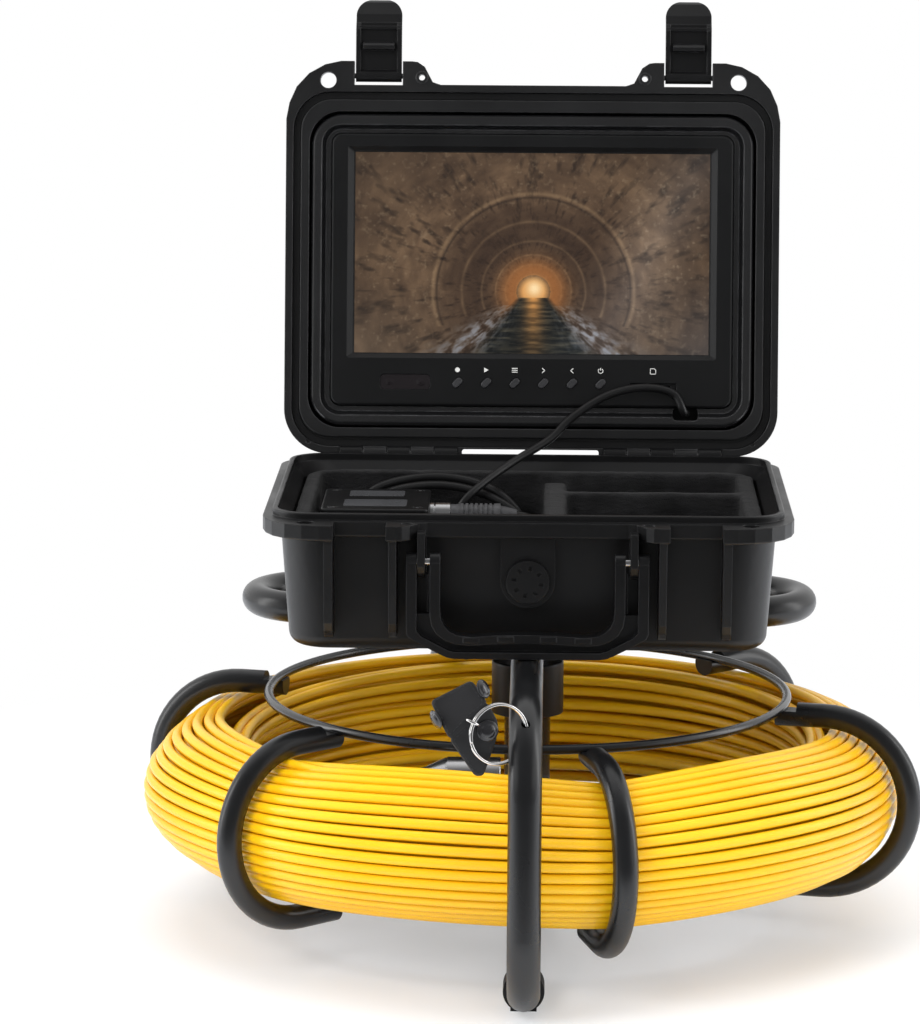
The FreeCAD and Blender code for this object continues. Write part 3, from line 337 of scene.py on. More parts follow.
MATERIALS = {
    "case_black": finish(
        "case_abs", (0.0046, 0.0046, 0.0049), rough=0.38, grain=(2600.0, 0.22, 0.00012),
        bevel=0.0009, edge=(0.022, 0.022, 0.0235), spec=0.42, scuffs=0.06),
    # painted light: the lid is the case's ABS, given a lighter colour to stand for the light
    # falling on it
    "lid_black_painted_lighter": finish(
        "case_abs_lid_painted_lighter", (0.0088, 0.0088, 0.0092), rough=0.34, grain=(2600.0, 0.20, 0.00012),
        bevel=0.0010, edge=(0.045, 0.045, 0.047), scuffs=0.06),
    "handle_black": finish(
        "handle_abs", (0.0036, 0.0036, 0.0040), rough=0.36, grain=(2400.0, 0.16, 0.0001),
        bevel=0.0009, edge=(0.030, 0.030, 0.032), spec=0.45),
    "tube_black": finish(
        "tube_powder_coat", (0.0058, 0.0060, 0.0066), rough=0.30, grain=(750.0, 0.10, 0.00012),
        rough_drift=0.09, bevel=0.0004, edge=(0.035, 0.035, 0.038), coat=0.08, coat_rough=0.25),
    "rod_black": finish(
        "rod_powder_coat", (0.0065, 0.0068, 0.0074), rough=0.26, grain=(900.0, 0.08, 0.0001),
        rough_drift=0.08, bevel=0.0003, edge=(0.05, 0.05, 0.055), spec=0.55, coat=0.3,
        coat_rough=0.2),
    # the pale edge colour here is mostly a painted highlight along the surround's ridges
    "trim_black": finish(
        "surround_gloss", (0.0075, 0.0075, 0.0080), rough=0.20, grain=(500.0, 0.03, 0.0001),
        rough_drift=0.06, bevel=0.0013, edge=(0.11, 0.11, 0.115), spec=0.65, coat=0.6,
        coat_rough=0.12),
    "bezel_black": finish(
        "bezel_satin", (0.0050, 0.0051, 0.0054), rough=0.36, grain=(3000.0, 0.14, 0.0001),
        bevel=0.0005, edge=(0.035, 0.035, 0.037), spec=0.45),
    "button_black": finish(
        "button_satin", (0.028, 0.028, 0.030), rough=0.30, grain=(2500.0, 0.08, 0.0001),
        bevel=0.0005, edge=(0.09, 0.09, 0.095)),
    "rubber_black": finish(
        "rubber", (0.0085, 0.0085, 0.0088), rough=0.60, grain=(1900.0, 0.25, 0.00015),
        bevel=0.0006, edge=(0.03, 0.03, 0.031), spec=0.35),
    "foam_black": finish(
        "foam", (0.0105, 0.0104, 0.0108), rough=0.93, grain=(foam_height, 0.75, 0.0007),
        colour_drift=0.40, drift_scale=60.0, spec=0.15, sheen=0.04),
    "steel": finish(
        "steel_turned", (0.62, 0.62, 0.63), rough=0.24, grain=(brushed(1), 0.12, 0.00008),
        metal=1.0, colour_drift=0.06, bevel=0.0003),
    "chrome": finish(
        "chrome", (0.82, 0.81, 0.80), rough=0.09, grain=(600.0, 0.02, 0.0001),
        metal=1.0, rough_drift=0.06, colour_drift=0.04),
    "circuit_green": finish(
        "circuit_board", (0.012, 0.13, 0.05), rough=0.35, grain=(260.0, 0.3, 0.0002),
        bevel=0.0003, edge=(0.35, 0.3, 0.15), colour_drift=0.3, drift_scale=300.0),
    "cell_blue": finish(
        "cell_wrap", (0.03, 0.10, 0.34), rough=0.28, grain=(300.0, 0.08, 0.0002),
        bevel=0.0004, edge=(0.2, 0.25, 0.4)),
    "lead_black": finish(
        "lead_rubber", (0.0065, 0.0065, 0.0068), rough=0.36, grain=(1500.0, 0.1, 0.0001)),
    "nylon_white": finish(
        "nylon", (0.72, 0.70, 0.65), rough=0.42, grain=(900.0, 0.1, 0.0001),
        colour_drift=0.05, bevel=0.0005, sss=0.1),
    "brass": finish(
        "brass", (0.72, 0.52, 0.2), rough=0.22, grain=(900.0, 0.06, 0.0001),
        metal=1.0, colour_drift=0.1, bevel=0.0003),
    "leather_black": finish(
        "strap_leather", (0.0105, 0.0105, 0.0115), rough=0.50,
        grain=(leather_height, 0.55, 0.0002), colour_drift=0.25, drift_scale=70.0,
        bevel=0.0004, edge=(0.05, 0.05, 0.053), sheen=0.02),
    "ir_red": finish(
        "ir_window", (0.008, 0.006, 0.007), rough=0.16, grain=(600.0, 0.03, 0.0001),
        bevel=0.0004, edge=(0.03, 0.03, 0.03), coat=0.3),
    "dark_steel": finish(
        "dark_steel", (0.17, 0.17, 0.175), rough=0.30, grain=(brushed(0), 0.15, 0.0001),
        metal=1.0, bevel=0.0003),
    "snap_black": finish(
        "snap_cap", (0.014, 0.014, 0.0155), rough=0.18, grain=(800.0, 0.05, 0.0001),
        bevel=0.0003, coat=0.4),
    "thread_black": finish(
        "thread", (0.03, 0.03, 0.032), rough=0.7, grain=(3000.0, 0.4, 0.0001)),
    "screen_glass": finish(
        "lcd_glass", (0.02, 0.02, 0.022), rough=0.10, grain=(700.0, 0.02, 0.00005),
        rough_drift=0.05),
    "lens_glass": finish(
        "lens", (0.75, 0.80, 0.85), rough=0.04, grain=(500.0, 0.01, 0.00005),
        rough_drift=0.02, colour_drift=0.02, bevel=0.0004, transmission=0.9, ior=1.47),
    "cable_yellow": cable_material(),
    "plug": plug_material(),
}

# pieces whose material differs from their slot's
OVERRIDES = {
    "aviation_plug": "plug",
    # the lid takes the lighter copy of the case's ABS, which is painted light
    "case_lid": "lid_black_painted_lighter",
    **dict.fromkeys(("hinge_pins", "axle_rod", "axle_nuts", "case_bolts", "case_nuts",
                     "latch_pins"), "dark_steel"),
}


def dress_frame():
    """Give every CAD piece its material."""
    slots = {part["node"]: part.get("material_slot") for part in frame["record"]["subparts"]}
    for name, obj in NODES.items():
        material = MATERIALS[OVERRIDES.get(name, slots[name])]
        if obj.material_slots:
            for slot in obj.material_slots:
                slot.link = "OBJECT"
                slot.material = material
        else:
            obj.data.materials.append(material)


dress_frame()


# ----------------------------------------------------------------- mesh tools
# A part is a pair (vertices in metres, faces).
def add_object(name, data):
    obj = bpy.data.objects.new(name, data)
    bpy.context.scene.collection.objects.link(obj)
    return obj


def new_object(name, parts, material, smooth=True):
    """One mesh object from a list of parts."""
    verts, faces, offset = [], [], 0
    for part_verts, part_faces in parts:
        part_verts = np.asarray(part_verts, float).reshape(-1, 3)
        verts.append(part_verts)
        faces += [tuple(int(i) + offset for i in face) for face in part_faces]
        offset += len(part_verts)
    mesh = bpy.data.meshes.new(name)
    mesh.from_pydata([tuple(map(float, v)) for v in np.vstack(verts)], [], faces)
    mesh.update()
    mesh.materials.append(material)
    if smooth:
        mesh.polygons.foreach_set("use_smooth", [True] * len(mesh.polygons))
    return add_object(name, mesh)


def ring_faces(rings, closed):
    """Quads joining rings of equal size; rings has the shape (rings, sides, 3)."""
    count, sides = rings.shape[:2]
    i = np.arange(count if closed else count - 1)[:, None]
    j = np.arange(sides)[None, :]
    here, ahead = i * sides, (i + 1) % count * sides
    beside = (j + 1) % sides
    corners = [here + j, here + beside, ahead + beside, ahead + j]
    return np.stack(corners, -1).reshape(-1, 4)


def capped(rings):
    """Vertices and faces of an open tube with both ends closed."""
    count, sides = rings.shape[:2]
    faces = [tuple(face) for face in ring_faces(rings, closed=False)]
    faces.append(tuple(range(sides - 1, -1, -1)))
    faces.append(tuple((count - 1) * sides + k for k in range(sides)))
    return rings.reshape(-1, 3), faces


def smooth_path(points, step):
    """A centripetal Catmull-Rom curve through the points, resampled evenly."""
    knots = np.array([list(p) for p in points], float)
    first, last = 2 * knots[0] - knots[1], 2 * knots[-1] - knots[-2]
    knots = np.vstack([first, knots, last])

    def blend(t, ta, tb, a, b):
        return (tb - t) / (tb - ta) * a + (t - ta) / (tb - ta) * b

    curve = []
    for i in range(1, len(knots) - 2):
        p0, p1, p2, p3 = knots[i - 1:i + 3]
        t0 = 0.0
        t1 = t0 + np.linalg.norm(p1 - p0) ** 0.5
        t2 = t1 + np.linalg.norm(p2 - p1) ** 0.5
        t3 = t2 + np.linalg.norm(p3 - p2) ** 0.5
        for t in np.linspace(t1, t2, 24, endpoint=False):
            a1 = blend(t, t0, t1, p0, p1)
            a2 = blend(t, t1, t2, p1, p2)
            a3 = blend(t, t2, t3, p2, p3)
            b1 = blend(t, t0, t2, a1, a2)
            b2 = blend(t, t1, t3, a2, a3)
            curve.append(blend(t, t1, t2, b1, b2))
    curve.append(knots[-2])
    curve = np.array(curve)
    # light smoothing keeps the bends even
    for _ in range(6):
        curve[1:-1] = 0.25 * curve[:-2] + 0.5 * curve[1:-1] + 0.25 * curve[2:]
    lengths = np.r_[0, np.cumsum(np.linalg.norm(np.diff(curve, axis=0), axis=1))]
    stations = np.linspace(0, lengths[-1], max(4, int(lengths[-1] / step)))
    return np.stack([np.interp(stations, lengths, curve[:, k]) for k in range(3)], 1)


def tube_rings(path, radius, sides, closed=False):
    """Rings round a path, in a frame that doesn't twist; radius may vary along the path."""
    if closed:
        tangents = np.roll(path, -1, 0) - np.roll(path, 1, 0)
    else:
        tangents = np.gradient(path, axis=0)
    tangents /= np.linalg.norm(tangents, axis=1)[:, None]
    up = np.array([0, 0, 1.0]) if abs(tangents[0][2]) < 0.9 else np.array([1.0, 0, 0])
    side = np.cross(up, tangents[0])
    side /= np.linalg.norm(side)
    angles = np.linspace(0, 2 * np.pi, sides, endpoint=False)[:, None]
    rings = []
    for centre, tangent, r in zip(path, tangents, np.broadcast_to(radius, len(path))):
        side = side - tangent * (side @ tangent)
        side /= np.linalg.norm(side)
        other = np.cross(tangent, side)
        rings.append(centre + r * (np.cos(angles) * side + np.sin(angles) * other))
    return np.array(rings)


def tube(path, radius, sides):
    """A part: a tube with closed ends along a path in millimetres."""
    verts, faces = capped(tube_rings(path, radius, sides))
    return verts * MM, faces


def lathe(profile, centre, axis, sides=40):
    """A turned part: profile holds (distance along axis, radius); centre is in metres."""
    axis = Vector(axis).normalized()
    u = axis.orthogonal().normalized()
    v = axis.cross(u)
    centre = Vector(centre)
    angles = [2 * math.pi * k / sides for k in range(sides)]
    rings = []
    for distance, radius in profile:
        distance, radius = distance * MM, max(radius * MM, 1e-6)
        rings.append([list(centre + axis * distance + (u * math.cos(a) + v * math.sin(a)) * radius)
                      for a in angles])
    return capped(np.array(rings))


# ----------------------------------------------------------------- push cable
TURN = np.linspace(0, 2 * np.pi, 216, endpoint=False)    # stations round one turn
CABLE_SIDES = 12
OUTER_LAYER_R = 38.25 - CABLE_R     # section radius through the outer layer's cable centres
SECOND_LAYER_R = OUTER_LAYER_R - 4.9
HOOP_ANGLES = (-13.0, -76.0, -136.5, 166.0, 105.0, 44.0)  # degrees round the z axis

# the free end that comes off the top of the coil, from its tip at the front
FREE_END = [
    (-49, -152, 111.8), (-60, -152.0, 111.8), (-76, -150.6, 111.6), (-95, -143.5, 111.6),
    (-118, -127, 112.0), (-139, -104, 112.3), (-155, -76, 111.6), (-164, -45, 108.5),
    (-166.5, -12, 103.0), (-165, 18, 97),
]


def wobble(rng, waves, amount):
    """A random closed wave round one turn."""
    total = np.zeros(len(TURN))
    for k in range(1, waves + 1):
        total += rng.normal() * np.cos(k * TURN + rng.uniform(0, 2 * np.pi)) / k
    return amount * total


def hoop_gaps():
    """0 at each hoop, rising to 1 midway between hoops."""
    azimuth = np.degrees(TURN) % 360.0
    hoops = sorted(a % 360.0 for a in HOOP_ANGLES)
    gaps = np.zeros(len(TURN))
    for start, end in zip(hoops, hoops[1:] + [hoops[0] + 360.0]):
        for shift in (0.0, 360.0):
            u = (azimuth + shift - start) / (end - start)
            gaps = np.where((u >= 0) & (u < 1), np.sin(np.pi * np.clip(u, 0, 1)), gaps)
    return gaps


def layer_angles(top, bottom, count):
    """Section angles of a layer's turns, given its end angles in degrees."""
    top, bottom = math.radians(top), math.radians(bottom)
    return [top + (bottom - top) * i / (count - 1) for i in range(count)]


def climb(angle):
    """Share of the lift taken at a section angle: full on top, less below."""
    return 0.45 + 0.55 * max(0.0, math.sin(min(angle * 1.45, math.pi / 2)))


def outer_turns(rng, bulge, lift):
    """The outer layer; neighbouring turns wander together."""
    common = wobble(rng, waves=3, amount=0.5)
    drift = np.zeros(len(TURN))
    turns = []
    for a in layer_angles(top=84, bottom=-86, count=20):
        drift = 0.75 * drift + 0.25 * wobble(rng, waves=4, amount=0.75)
        angle = a + (common * 0.4 + drift) / OUTER_LAYER_R
        radius = OUTER_LAYER_R + wobble(rng, waves=4, amount=0.22)
        turns.append((COIL_R + (radius + bulge * math.cos(a) ** 0.5) * np.cos(angle),
                      COIL_Z + radius * np.sin(angle) + lift * climb(a)))
    return turns


def second_turns(rng, bulge, lift):
    """The layer under the outer one."""
    turns = []
    for a in layer_angles(top=76, bottom=-80, count=15):
        r = COIL_R + SECOND_LAYER_R * np.cos(a) + wobble(rng, waves=3, amount=0.2)
        z = COIL_Z + SECOND_LAYER_R * np.sin(a) + wobble(rng, waves=3, amount=0.2)
        turns.append((r + 0.85 * bulge * math.cos(a) ** 1.2, z + lift * climb(a)))
    return turns


def loose_turns(rng):
    """Turns inside, row by row from the top; the upper ones lean low in front, high behind."""
    top_z, row_pitch, column_pitch = 99.5, 6.1, 5.8
    outermost_r, odd_row_inset = 160.0, 1.5
    lowest_z, stacked_z = 40.5, 5.5       # floor of the basket, and the step of the odd column
    turns = []
    for row in range(9):
        for column in range(2 if row < 7 else 3):
            inset = odd_row_inset if row % 2 else 0
            radius = outermost_r - column_pitch * column - inset + rng.normal() * 0.4
            lean = 7.5 - 1.0 * row + rng.normal() * 0.5
            lean_phase = rng.normal() * 0.35
            oval = 1.6 * rng.normal()
            oval_phase = rng.uniform(0, 6.28)
            r = radius + oval * np.cos(TURN - oval_phase) * 0.6
            z = top_z - row_pitch * row + lean * np.sin(TURN + lean_phase)
            z = z + wobble(rng, waves=3, amount=0.25)
            turns.append((r, np.maximum(z, lowest_z + stacked_z * (column % 2))))
    return turns


def turn_part(r, z):
    """One closed turn of cable from its radius and height at each station."""
    angles = np.linspace(0, 2 * np.pi, CABLE_SIDES, endpoint=False)[None, :, None]
    centres = np.stack([r * np.cos(TURN), r * np.sin(TURN), z], 1)[:, None, :]
    outward = np.stack([np.cos(TURN), np.sin(TURN), np.zeros(len(TURN))], 1)[:, None, :]
    up = np.array([0, 0, 1.0])
    rings = centres + CABLE_R * (np.cos(angles) * outward + np.sin(angles) * up)
    return rings.reshape(-1, 3) * MM, ring_faces(rings, closed=True)[:, ::-1]


def coil():
    """55 turns of cable and the free end."""
    rng = np.random.default_rng(11)
    gaps = hoop_gaps()
    # between the hoops the turns press outwards, most on the -x side, and rise in front
    lift = 6.6 * gaps * np.clip(-np.sin(TURN), 0, 1) ** 0.7
    bulge = 7.6 * gaps * (0.35 + 0.65 * (0.5 - 0.5 * np.cos(TURN)))
    turns = outer_turns(rng, bulge, lift)
    turns += second_turns(rng, bulge, lift)
    turns += loose_turns(rng)
    parts = [turn_part(r, z) for r, z in turns]
    parts.append(tube(smooth_path(FREE_END, step=2.0), CABLE_R, sides=14))
    return new_object("cable_coil", parts, MATERIALS["cable_yellow"])


cable = coil()
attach(cable, "basket")
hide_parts("push_cable")

# ----------------------------------------------------------------- monitor lead
# from inside the lid, in two loose loops, down to its end
LEAD_POINTS = [
    lid_point(87.2, 24.0, 6.0) / MM, lid_point(87.1, 24.0, -0.5) / MM,
    lid_point(85.6, 25.4, -5.2) / MM,
    (80.5, 103.6, 274.0), (64.3, 101, 278), (43.6, 97, 274.2), (23, 90, 262),
    (11.6, 84, 251.5), (-8.5, 71, 240.6), (-22.5, 58, 232.6), (-34, 47.5, 224),
    (-41.5, 46.5, 213), (-47, 50, 200), (-60, 56, 191), (-80, 64, 189), (-97, 66, 198),
    (-97, 62, 214), (-86, 61, 225.5), (-74, 66, 229.6), (-50, 72, 231.4), (-27.6, 69, 228),
    (-13, 61, 221), (-4, 56, 209), (-6, 55, 195), (-24, 57, 187), (-55, 60, 186),
    (-84, 58, 191), (-96, 56, 206), (-86, 53, 220), (-73.8, 54, 226.6), (-48.7, 62, 228.2),
    (-26, 60, 224), (-9, 53, 216), (1.5, 47, 207), (4.6, 37, 208.0), (3.6, 28.5, 214.0),
    (-2.6, 22.6, 218.0), (-11, 22, 218.5), (-16, 22, 218.5),
]
LEAD_R = 2.25

lead = new_object("monitor_lead", [tube(smooth_path(LEAD_POINTS, step=1.6), LEAD_R, sides=14)],
                  MATERIALS["lead_black"])
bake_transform(lead)
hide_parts("monitor_cable")


# ----------------------------------------------------------------- foam insert
def roughen(mesh):
    """Push the vertices along their normals by a fine noise, plus layered cuts on the sides."""
    side_scale, side_amount = (35, 35, 160), 0.00055
    fine_scale, fine_amount = (150, 150, 420), 0.00030
    sink = 0.0003
    count = len(mesh.vertices)
    places = np.zeros(count * 3, np.float32)
    mesh.vertices.foreach_get("co", places)
    places = places.reshape(-1, 3)
    normals = np.zeros(count * 3, np.float32)
    mesh.vertices.foreach_get("normal", normals)
    normals = normals.reshape(-1, 3)
    push = np.zeros(count)
    for i, place in enumerate(places):
        layered = mnoise.noise(Vector([c * s for c, s in zip(place, side_scale)]))
        fine = mnoise.noise(Vector([c * s for c, s in zip(place, fine_scale)]))
        side = 1.0 - abs(normals[i][2])
        push[i] = (side_amount * layered * side + fine_amount * fine) - sink
    places = places + normals * push[:, None]
    mesh.vertices.foreach_set("co", places.astype(np.float32).ravel())
    mesh.update()


def foam():
    """The CAD insert remeshed finely, softened and roughened."""
    source = NODES["foam_insert"].data.copy()
    obj = add_object("foam_lining", source)
    welded = bmesh.new()
    welded.from_mesh(source)
    bmesh.ops.remove_doubles(welded, verts=welded.verts, dist=1e-5)
    welded.to_mesh(source)
    welded.free()
    remesh = obj.modifiers.new("r", "REMESH")
    remesh.mode = "VOXEL"
    remesh.voxel_size = 0.0016
    soften = obj.modifiers.new("s", "SMOOTH")
    soften.factor = 0.5
    soften.iterations = 3
    depsgraph = bpy.context.evaluated_depsgraph_get()
    depsgraph.update()
    mesh = bpy.data.meshes.new_from_object(obj.evaluated_get(depsgraph))
    obj.modifiers.clear()
    obj.data = mesh
    mesh.name = "foam_lining"
    mesh.materials.clear()
    mesh.materials.append(MATERIALS["foam_black"])
    roughen(mesh)
    mesh.polygons.foreach_set("use_smooth", [True] * len(mesh.polygons))
    return obj


lining = foam()
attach(lining, "stand")
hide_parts("foam_insert")

# ----------------------------------------------------------------- cable keeper: split ring
KEEPER_CENTRE = Vector((-13.2, -224.5, 152.0))
KEEPER_AXIS = Vector((0.401, -0.915, 0.012)).normalized()
KEEPER_R = 15.0
KEEPER_WIRE_R = 0.78
KEEPER_OFFSET = 0.80      # each turn's distance from the ring's middle plane


def split_ring():
    """Two turns of round wire side by side, with the step where they cross over."""
    u = KEEPER_AXIS.cross(Vector((0, 0, 1))).normalized()
    w = KEEPER_AXIS.cross(u)
    steps = 240
    path = []
    for i in range(steps + 1):
        s = i / steps
        angle = 4 * math.pi * s * 0.985 + 0.4
        crossing = min(1.0, max(0.0, (s - 0.46) / 0.06))
        offset = -KEEPER_OFFSET + 2 * KEEPER_OFFSET * crossing
        path.append(list(KEEPER_CENTRE + (u * math.cos(angle) + w * math.sin(angle)) * KEEPER_R
                         + KEEPER_AXIS * offset))
    return tube(np.array(path), KEEPER_WIRE_R, sides=12)


keeper = new_object("keeper_split_ring", [split_ring()], MATERIALS["chrome"])
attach(keeper, "keeper_ring_body")
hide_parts("keeper_ring")

# ----------------------------------------------------------------- cable keeper: leather fob
FLAP_THICK = 1.9
FLAP_CROWN = 0.25         # extra height at a flap's middle, as a share of its half thickness
FLAP_CORNER_R = 2.6
FLAP_SHIFT = Vector((0, 1.0, 0))
FOLD_LEFT, FOLD_RIGHT = (-37.6, -228.4, 149.8), (-18.9, -225.4, 168.1)
UPPER_FLAP = [(-26.8, -218.5, 177.7), (-47.4, -219.0, 166.9), FOLD_LEFT, FOLD_RIGHT]
LOWER_FLAP = [FOLD_LEFT, (-25.0, -224.2, 130.4), (-20.6, -224.0, 130.4),
              (-14.2, -223.2, 149.5), (-13.6, -223.8, 158.0), FOLD_RIGHT]
# (share of the half thickness, outline scale) from the flap's back over its edge to the front
FLAP_EDGE = [(-0.98, 0.955), (-0.72, 0.985), (-0.36, 0.998),
             (0.36, 0.998), (0.72, 0.985), (0.98, 0.955)]
FLAP_FACE_SCALES = (0.02, 0.25, 0.5, 0.75, 0.90)

SNAP_PROFILE = [     # distance along the axis, radius
    (0.0, 0.0), (0.0, 6.2), (0.5, 6.9), (1.2, 6.7), (1.7, 5.6),
    (1.9, 4.6), (2.3, 4.3), (2.9, 3.3), (3.2, 1.8), (3.3, 0.0),
]
SNAPS = [            # centre, axis, scale of the profile
    ((-43.9, -222.8, 158.9), (-0.75, -0.5, -0.3), 0.72),
    ((-21.4, -221.4, 174.0), (0.75, -0.45, 0.4), 0.72),
    ((-18.8, -225.2, 154.0), (0.22, -0.97, 0.06), 0.80),
]


def rounded_outline(corners):
    """Round the corners and add points along the edges."""
    ring = []
    for i, p in enumerate(corners):
        before, after = corners[i - 1], corners[(i + 1) % len(corners)]
        cut_before = min(FLAP_CORNER_R, (before - p).length * 0.35)
        cut_after = min(FLAP_CORNER_R, (after - p).length * 0.35)
        start = p + (before - p).normalized() * cut_before
        end = p + (after - p).normalized() * cut_after
        for t in (0.0, 0.25, 0.5, 0.75, 1.0):
            ring.append(start * (1 - t) ** 2 + p * 2 * t * (1 - t) + end * t * t)
    dense = []
    for a, b in zip(ring, ring[1:] + ring[:1]):
        count = max(1, int((b - a).length / 1.2))
        for i in range(count):
            dense.append(a + (b - a) * (i / count))
    return dense


def flap(corners):
    """A padded flat piece with a rolled edge: its part, outline, centre and +y normal."""
    middle = sum(corners, Vector()) / len(corners)
    normal = Vector()
    for a, b in zip(corners, corners[1:] + corners[:1]):
        normal += (a - middle).cross(b - middle)
    normal.normalize()
    if normal.dot(Vector((0, 1, 0))) < 0:
        normal = -normal
        corners = corners[::-1]
    outline = rounded_outline([p - normal * (p - middle).dot(normal) for p in corners])
    centre = sum(outline, Vector()) / len(outline)
    half = FLAP_THICK / 2
    face = [(half * (1.0 + FLAP_CROWN * (1 - s ** 2)), s) for s in FLAP_FACE_SCALES]
    layers = [(-height, scale) for height, scale in face]
    layers += [(half * share, scale) for share, scale in FLAP_EDGE]
    layers += face[::-1]
    rings = [[list(centre + (p - centre) * scale + normal * height) for p in outline]
             for height, scale in layers]
    verts, faces = capped(np.array(rings))
    return (verts * MM, faces), outline, centre, normal


def stitches(outline, centre, normal):
    """Short thread stitches just inside the edge, on the face the normal points away from."""
    inset, pitch, length, thread_r, arch = 1.7, 2.3, 1.5, 0.2, 0.16
    ring = [p + (centre - p).normalized() * inset for p in outline]
    lengths = [0.0]
    for a, b in zip(ring, ring[1:] + ring[:1]):
        lengths.append(lengths[-1] + (b - a).length)
    total = lengths[-1]
    ring.append(ring[0])

    def along(s):
        s = s % total
        i = max(0, np.searchsorted(lengths, s, side="right") - 1)
        i = min(i, len(ring) - 2)
        t = (s - lengths[i]) / max(1e-9, lengths[i + 1] - lengths[i])
        return ring[i] + (ring[i + 1] - ring[i]) * t

    stations = np.linspace(0, 1, 7)
    radii = [thread_r * (0.6 + 0.4 * math.sin(math.pi * t)) for t in stations]
    count = int(total / pitch)
    parts = []
    for j in range(count):
        start = j * total / count
        path = []
        for t in stations:
            height = 0.5 * FLAP_THICK * 1.03 + arch * math.sin(math.pi * t)
            path.append(list(along(start + t * length) - normal * height))
        parts.append(tube(np.array(path), radii, sides=6))
    return parts


def fold():
    """The roll between the two flaps, thinner towards its ends."""
    start = Vector(FOLD_LEFT) + Vector((0, 1.6, 0))
    end = Vector(FOLD_RIGHT) + Vector((0, 1.6, 0))
    stations = 26
    path = np.array([list(start + (end - start) * t) for t in np.linspace(0.03, 0.97, stations)])
    radii = [1.55 * (0.86 + 0.14 * math.sin(math.pi * t)) for t in np.linspace(0, 1, stations)]
    return tube(path, radii, sides=16)


def eyelet():
    """A small wire ring standing at the front of the fold."""
    centre = Vector((-26.1, -230.15, 159.16))
    axis = Vector((0.410, 0.191, 0.890)).normalized()
    ring_r, wire_r = 3.25, 0.75
    u = axis.orthogonal().normalized()
    w = axis.cross(u)
    path = np.array([list(centre + (u * math.cos(a) + w * math.sin(a)) * ring_r)
                     for a in np.linspace(0, 2 * math.pi, 36, endpoint=False)])
    rings = tube_rings(path, wire_r, sides=10, closed=True)
    return rings.reshape(-1, 3) * MM, ring_faces(rings, closed=True)


def fob():
    leather, thread = [], []
    for corners in (UPPER_FLAP, LOWER_FLAP):
        part, outline, centre, normal = flap([Vector(p) + FLAP_SHIFT for p in corners])
        leather.append(part)
        thread += stitches(outline, centre, normal)
    leather.append(fold())
    obj = new_object("keeper_fob", leather, MATERIALS["leather_black"])
    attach(obj, "keeper_strap_body")
    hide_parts("keeper_strap")

    obj = new_object("keeper_fob_stitches", thread, MATERIALS["thread_black"])
    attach(obj, "keeper_strap_body")

    caps = [lathe([(h * scale, r * scale) for h, r in SNAP_PROFILE], Vector(centre) * MM, axis)
            for centre, axis, scale in SNAPS]
    obj = new_object("keeper_fob_snaps", caps, MATERIALS["snap_black"])
    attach(obj, "keeper_strap_body")

    obj = new_object("keeper_eyelet", [eyelet()], MATERIALS["chrome"])
    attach(obj, "keeper_strap_body")


fob()


# ----------------------------------------------------------------- view shown on the monitor
PICTURE_COLUMNS, PICTURE_ROWS = 560, 314
PICTURE_HALF_WIDTH = 99.7
PICTURE_BOTTOM, PICTURE_TOP = 57.0, 169.8      # from the hinge line
PICTURE_DEPTH = 3.85
# The view has units of its own: its width and height, and the pipe's vanishing point as a share
# of each.
VIEW_WIDTH, VIEW_HEIGHT = 355.0, 199.0
VANISH_ACROSS, VANISH_UP = 0.505, 0.31
PALE_JOINT, DARK_JOINT = (172, 142, 106), (22, 16, 12)
JOINTS = [     # radius, line width, strength, colour
    (101, 2.0, 0.55, PALE_JOINT), (97, 1.2, 0.6, DARK_JOINT), (72, 1.5, 0.4, PALE_JOINT),
    (52, 1.2, 0.4, PALE_JOINT), (38, 1.0, 0.45, PALE_JOINT), (28, 0.9, 0.5, PALE_JOINT),
]


def value_noise(x, y, seed):
    """Smoothly interpolated random values on a repeating grid."""
    grid = np.random.default_rng(seed).random((257, 257))
    column, row = np.floor(x).astype(int), np.floor(y).astype(int)
    fx, fy = x - column, y - row
    fx, fy = fx * fx * (3 - 2 * fx), fy * fy * (3 - 2 * fy)
    left, right = column % 256, (column + 1) % 256
    low, high = row % 256, (row + 1) % 256
    low_mix = grid[low, left] * (1 - fx) + grid[low, right] * fx
    high_mix = grid[high, left] * (1 - fx) + grid[high, right] * fx
    return low_mix * (1 - fy) + high_mix * fy


def layered_noise(x, y, seed, octaves):
    total, amount, weight = 0, 1.0, 0
    for k in range(octaves):
        total = total + amount * value_noise(x * 2 ** k, y * 2 ** k, seed + k)
        weight += amount
        amount *= 0.55
    return total / weight


def paint(under, colour, cover):
    """Lay a colour (0-255 sRGB, or an array of colours) over another by a cover of 0 to 1."""
    if isinstance(colour, tuple):
        colour = (np.array(colour) / 255.0)[None, None, :]
    cover = np.clip(cover, 0, 1)[..., None]
    return under * (1 - cover) + colour * cover


def bell(distance, width):
    return np.exp(-(distance / width) ** 2)


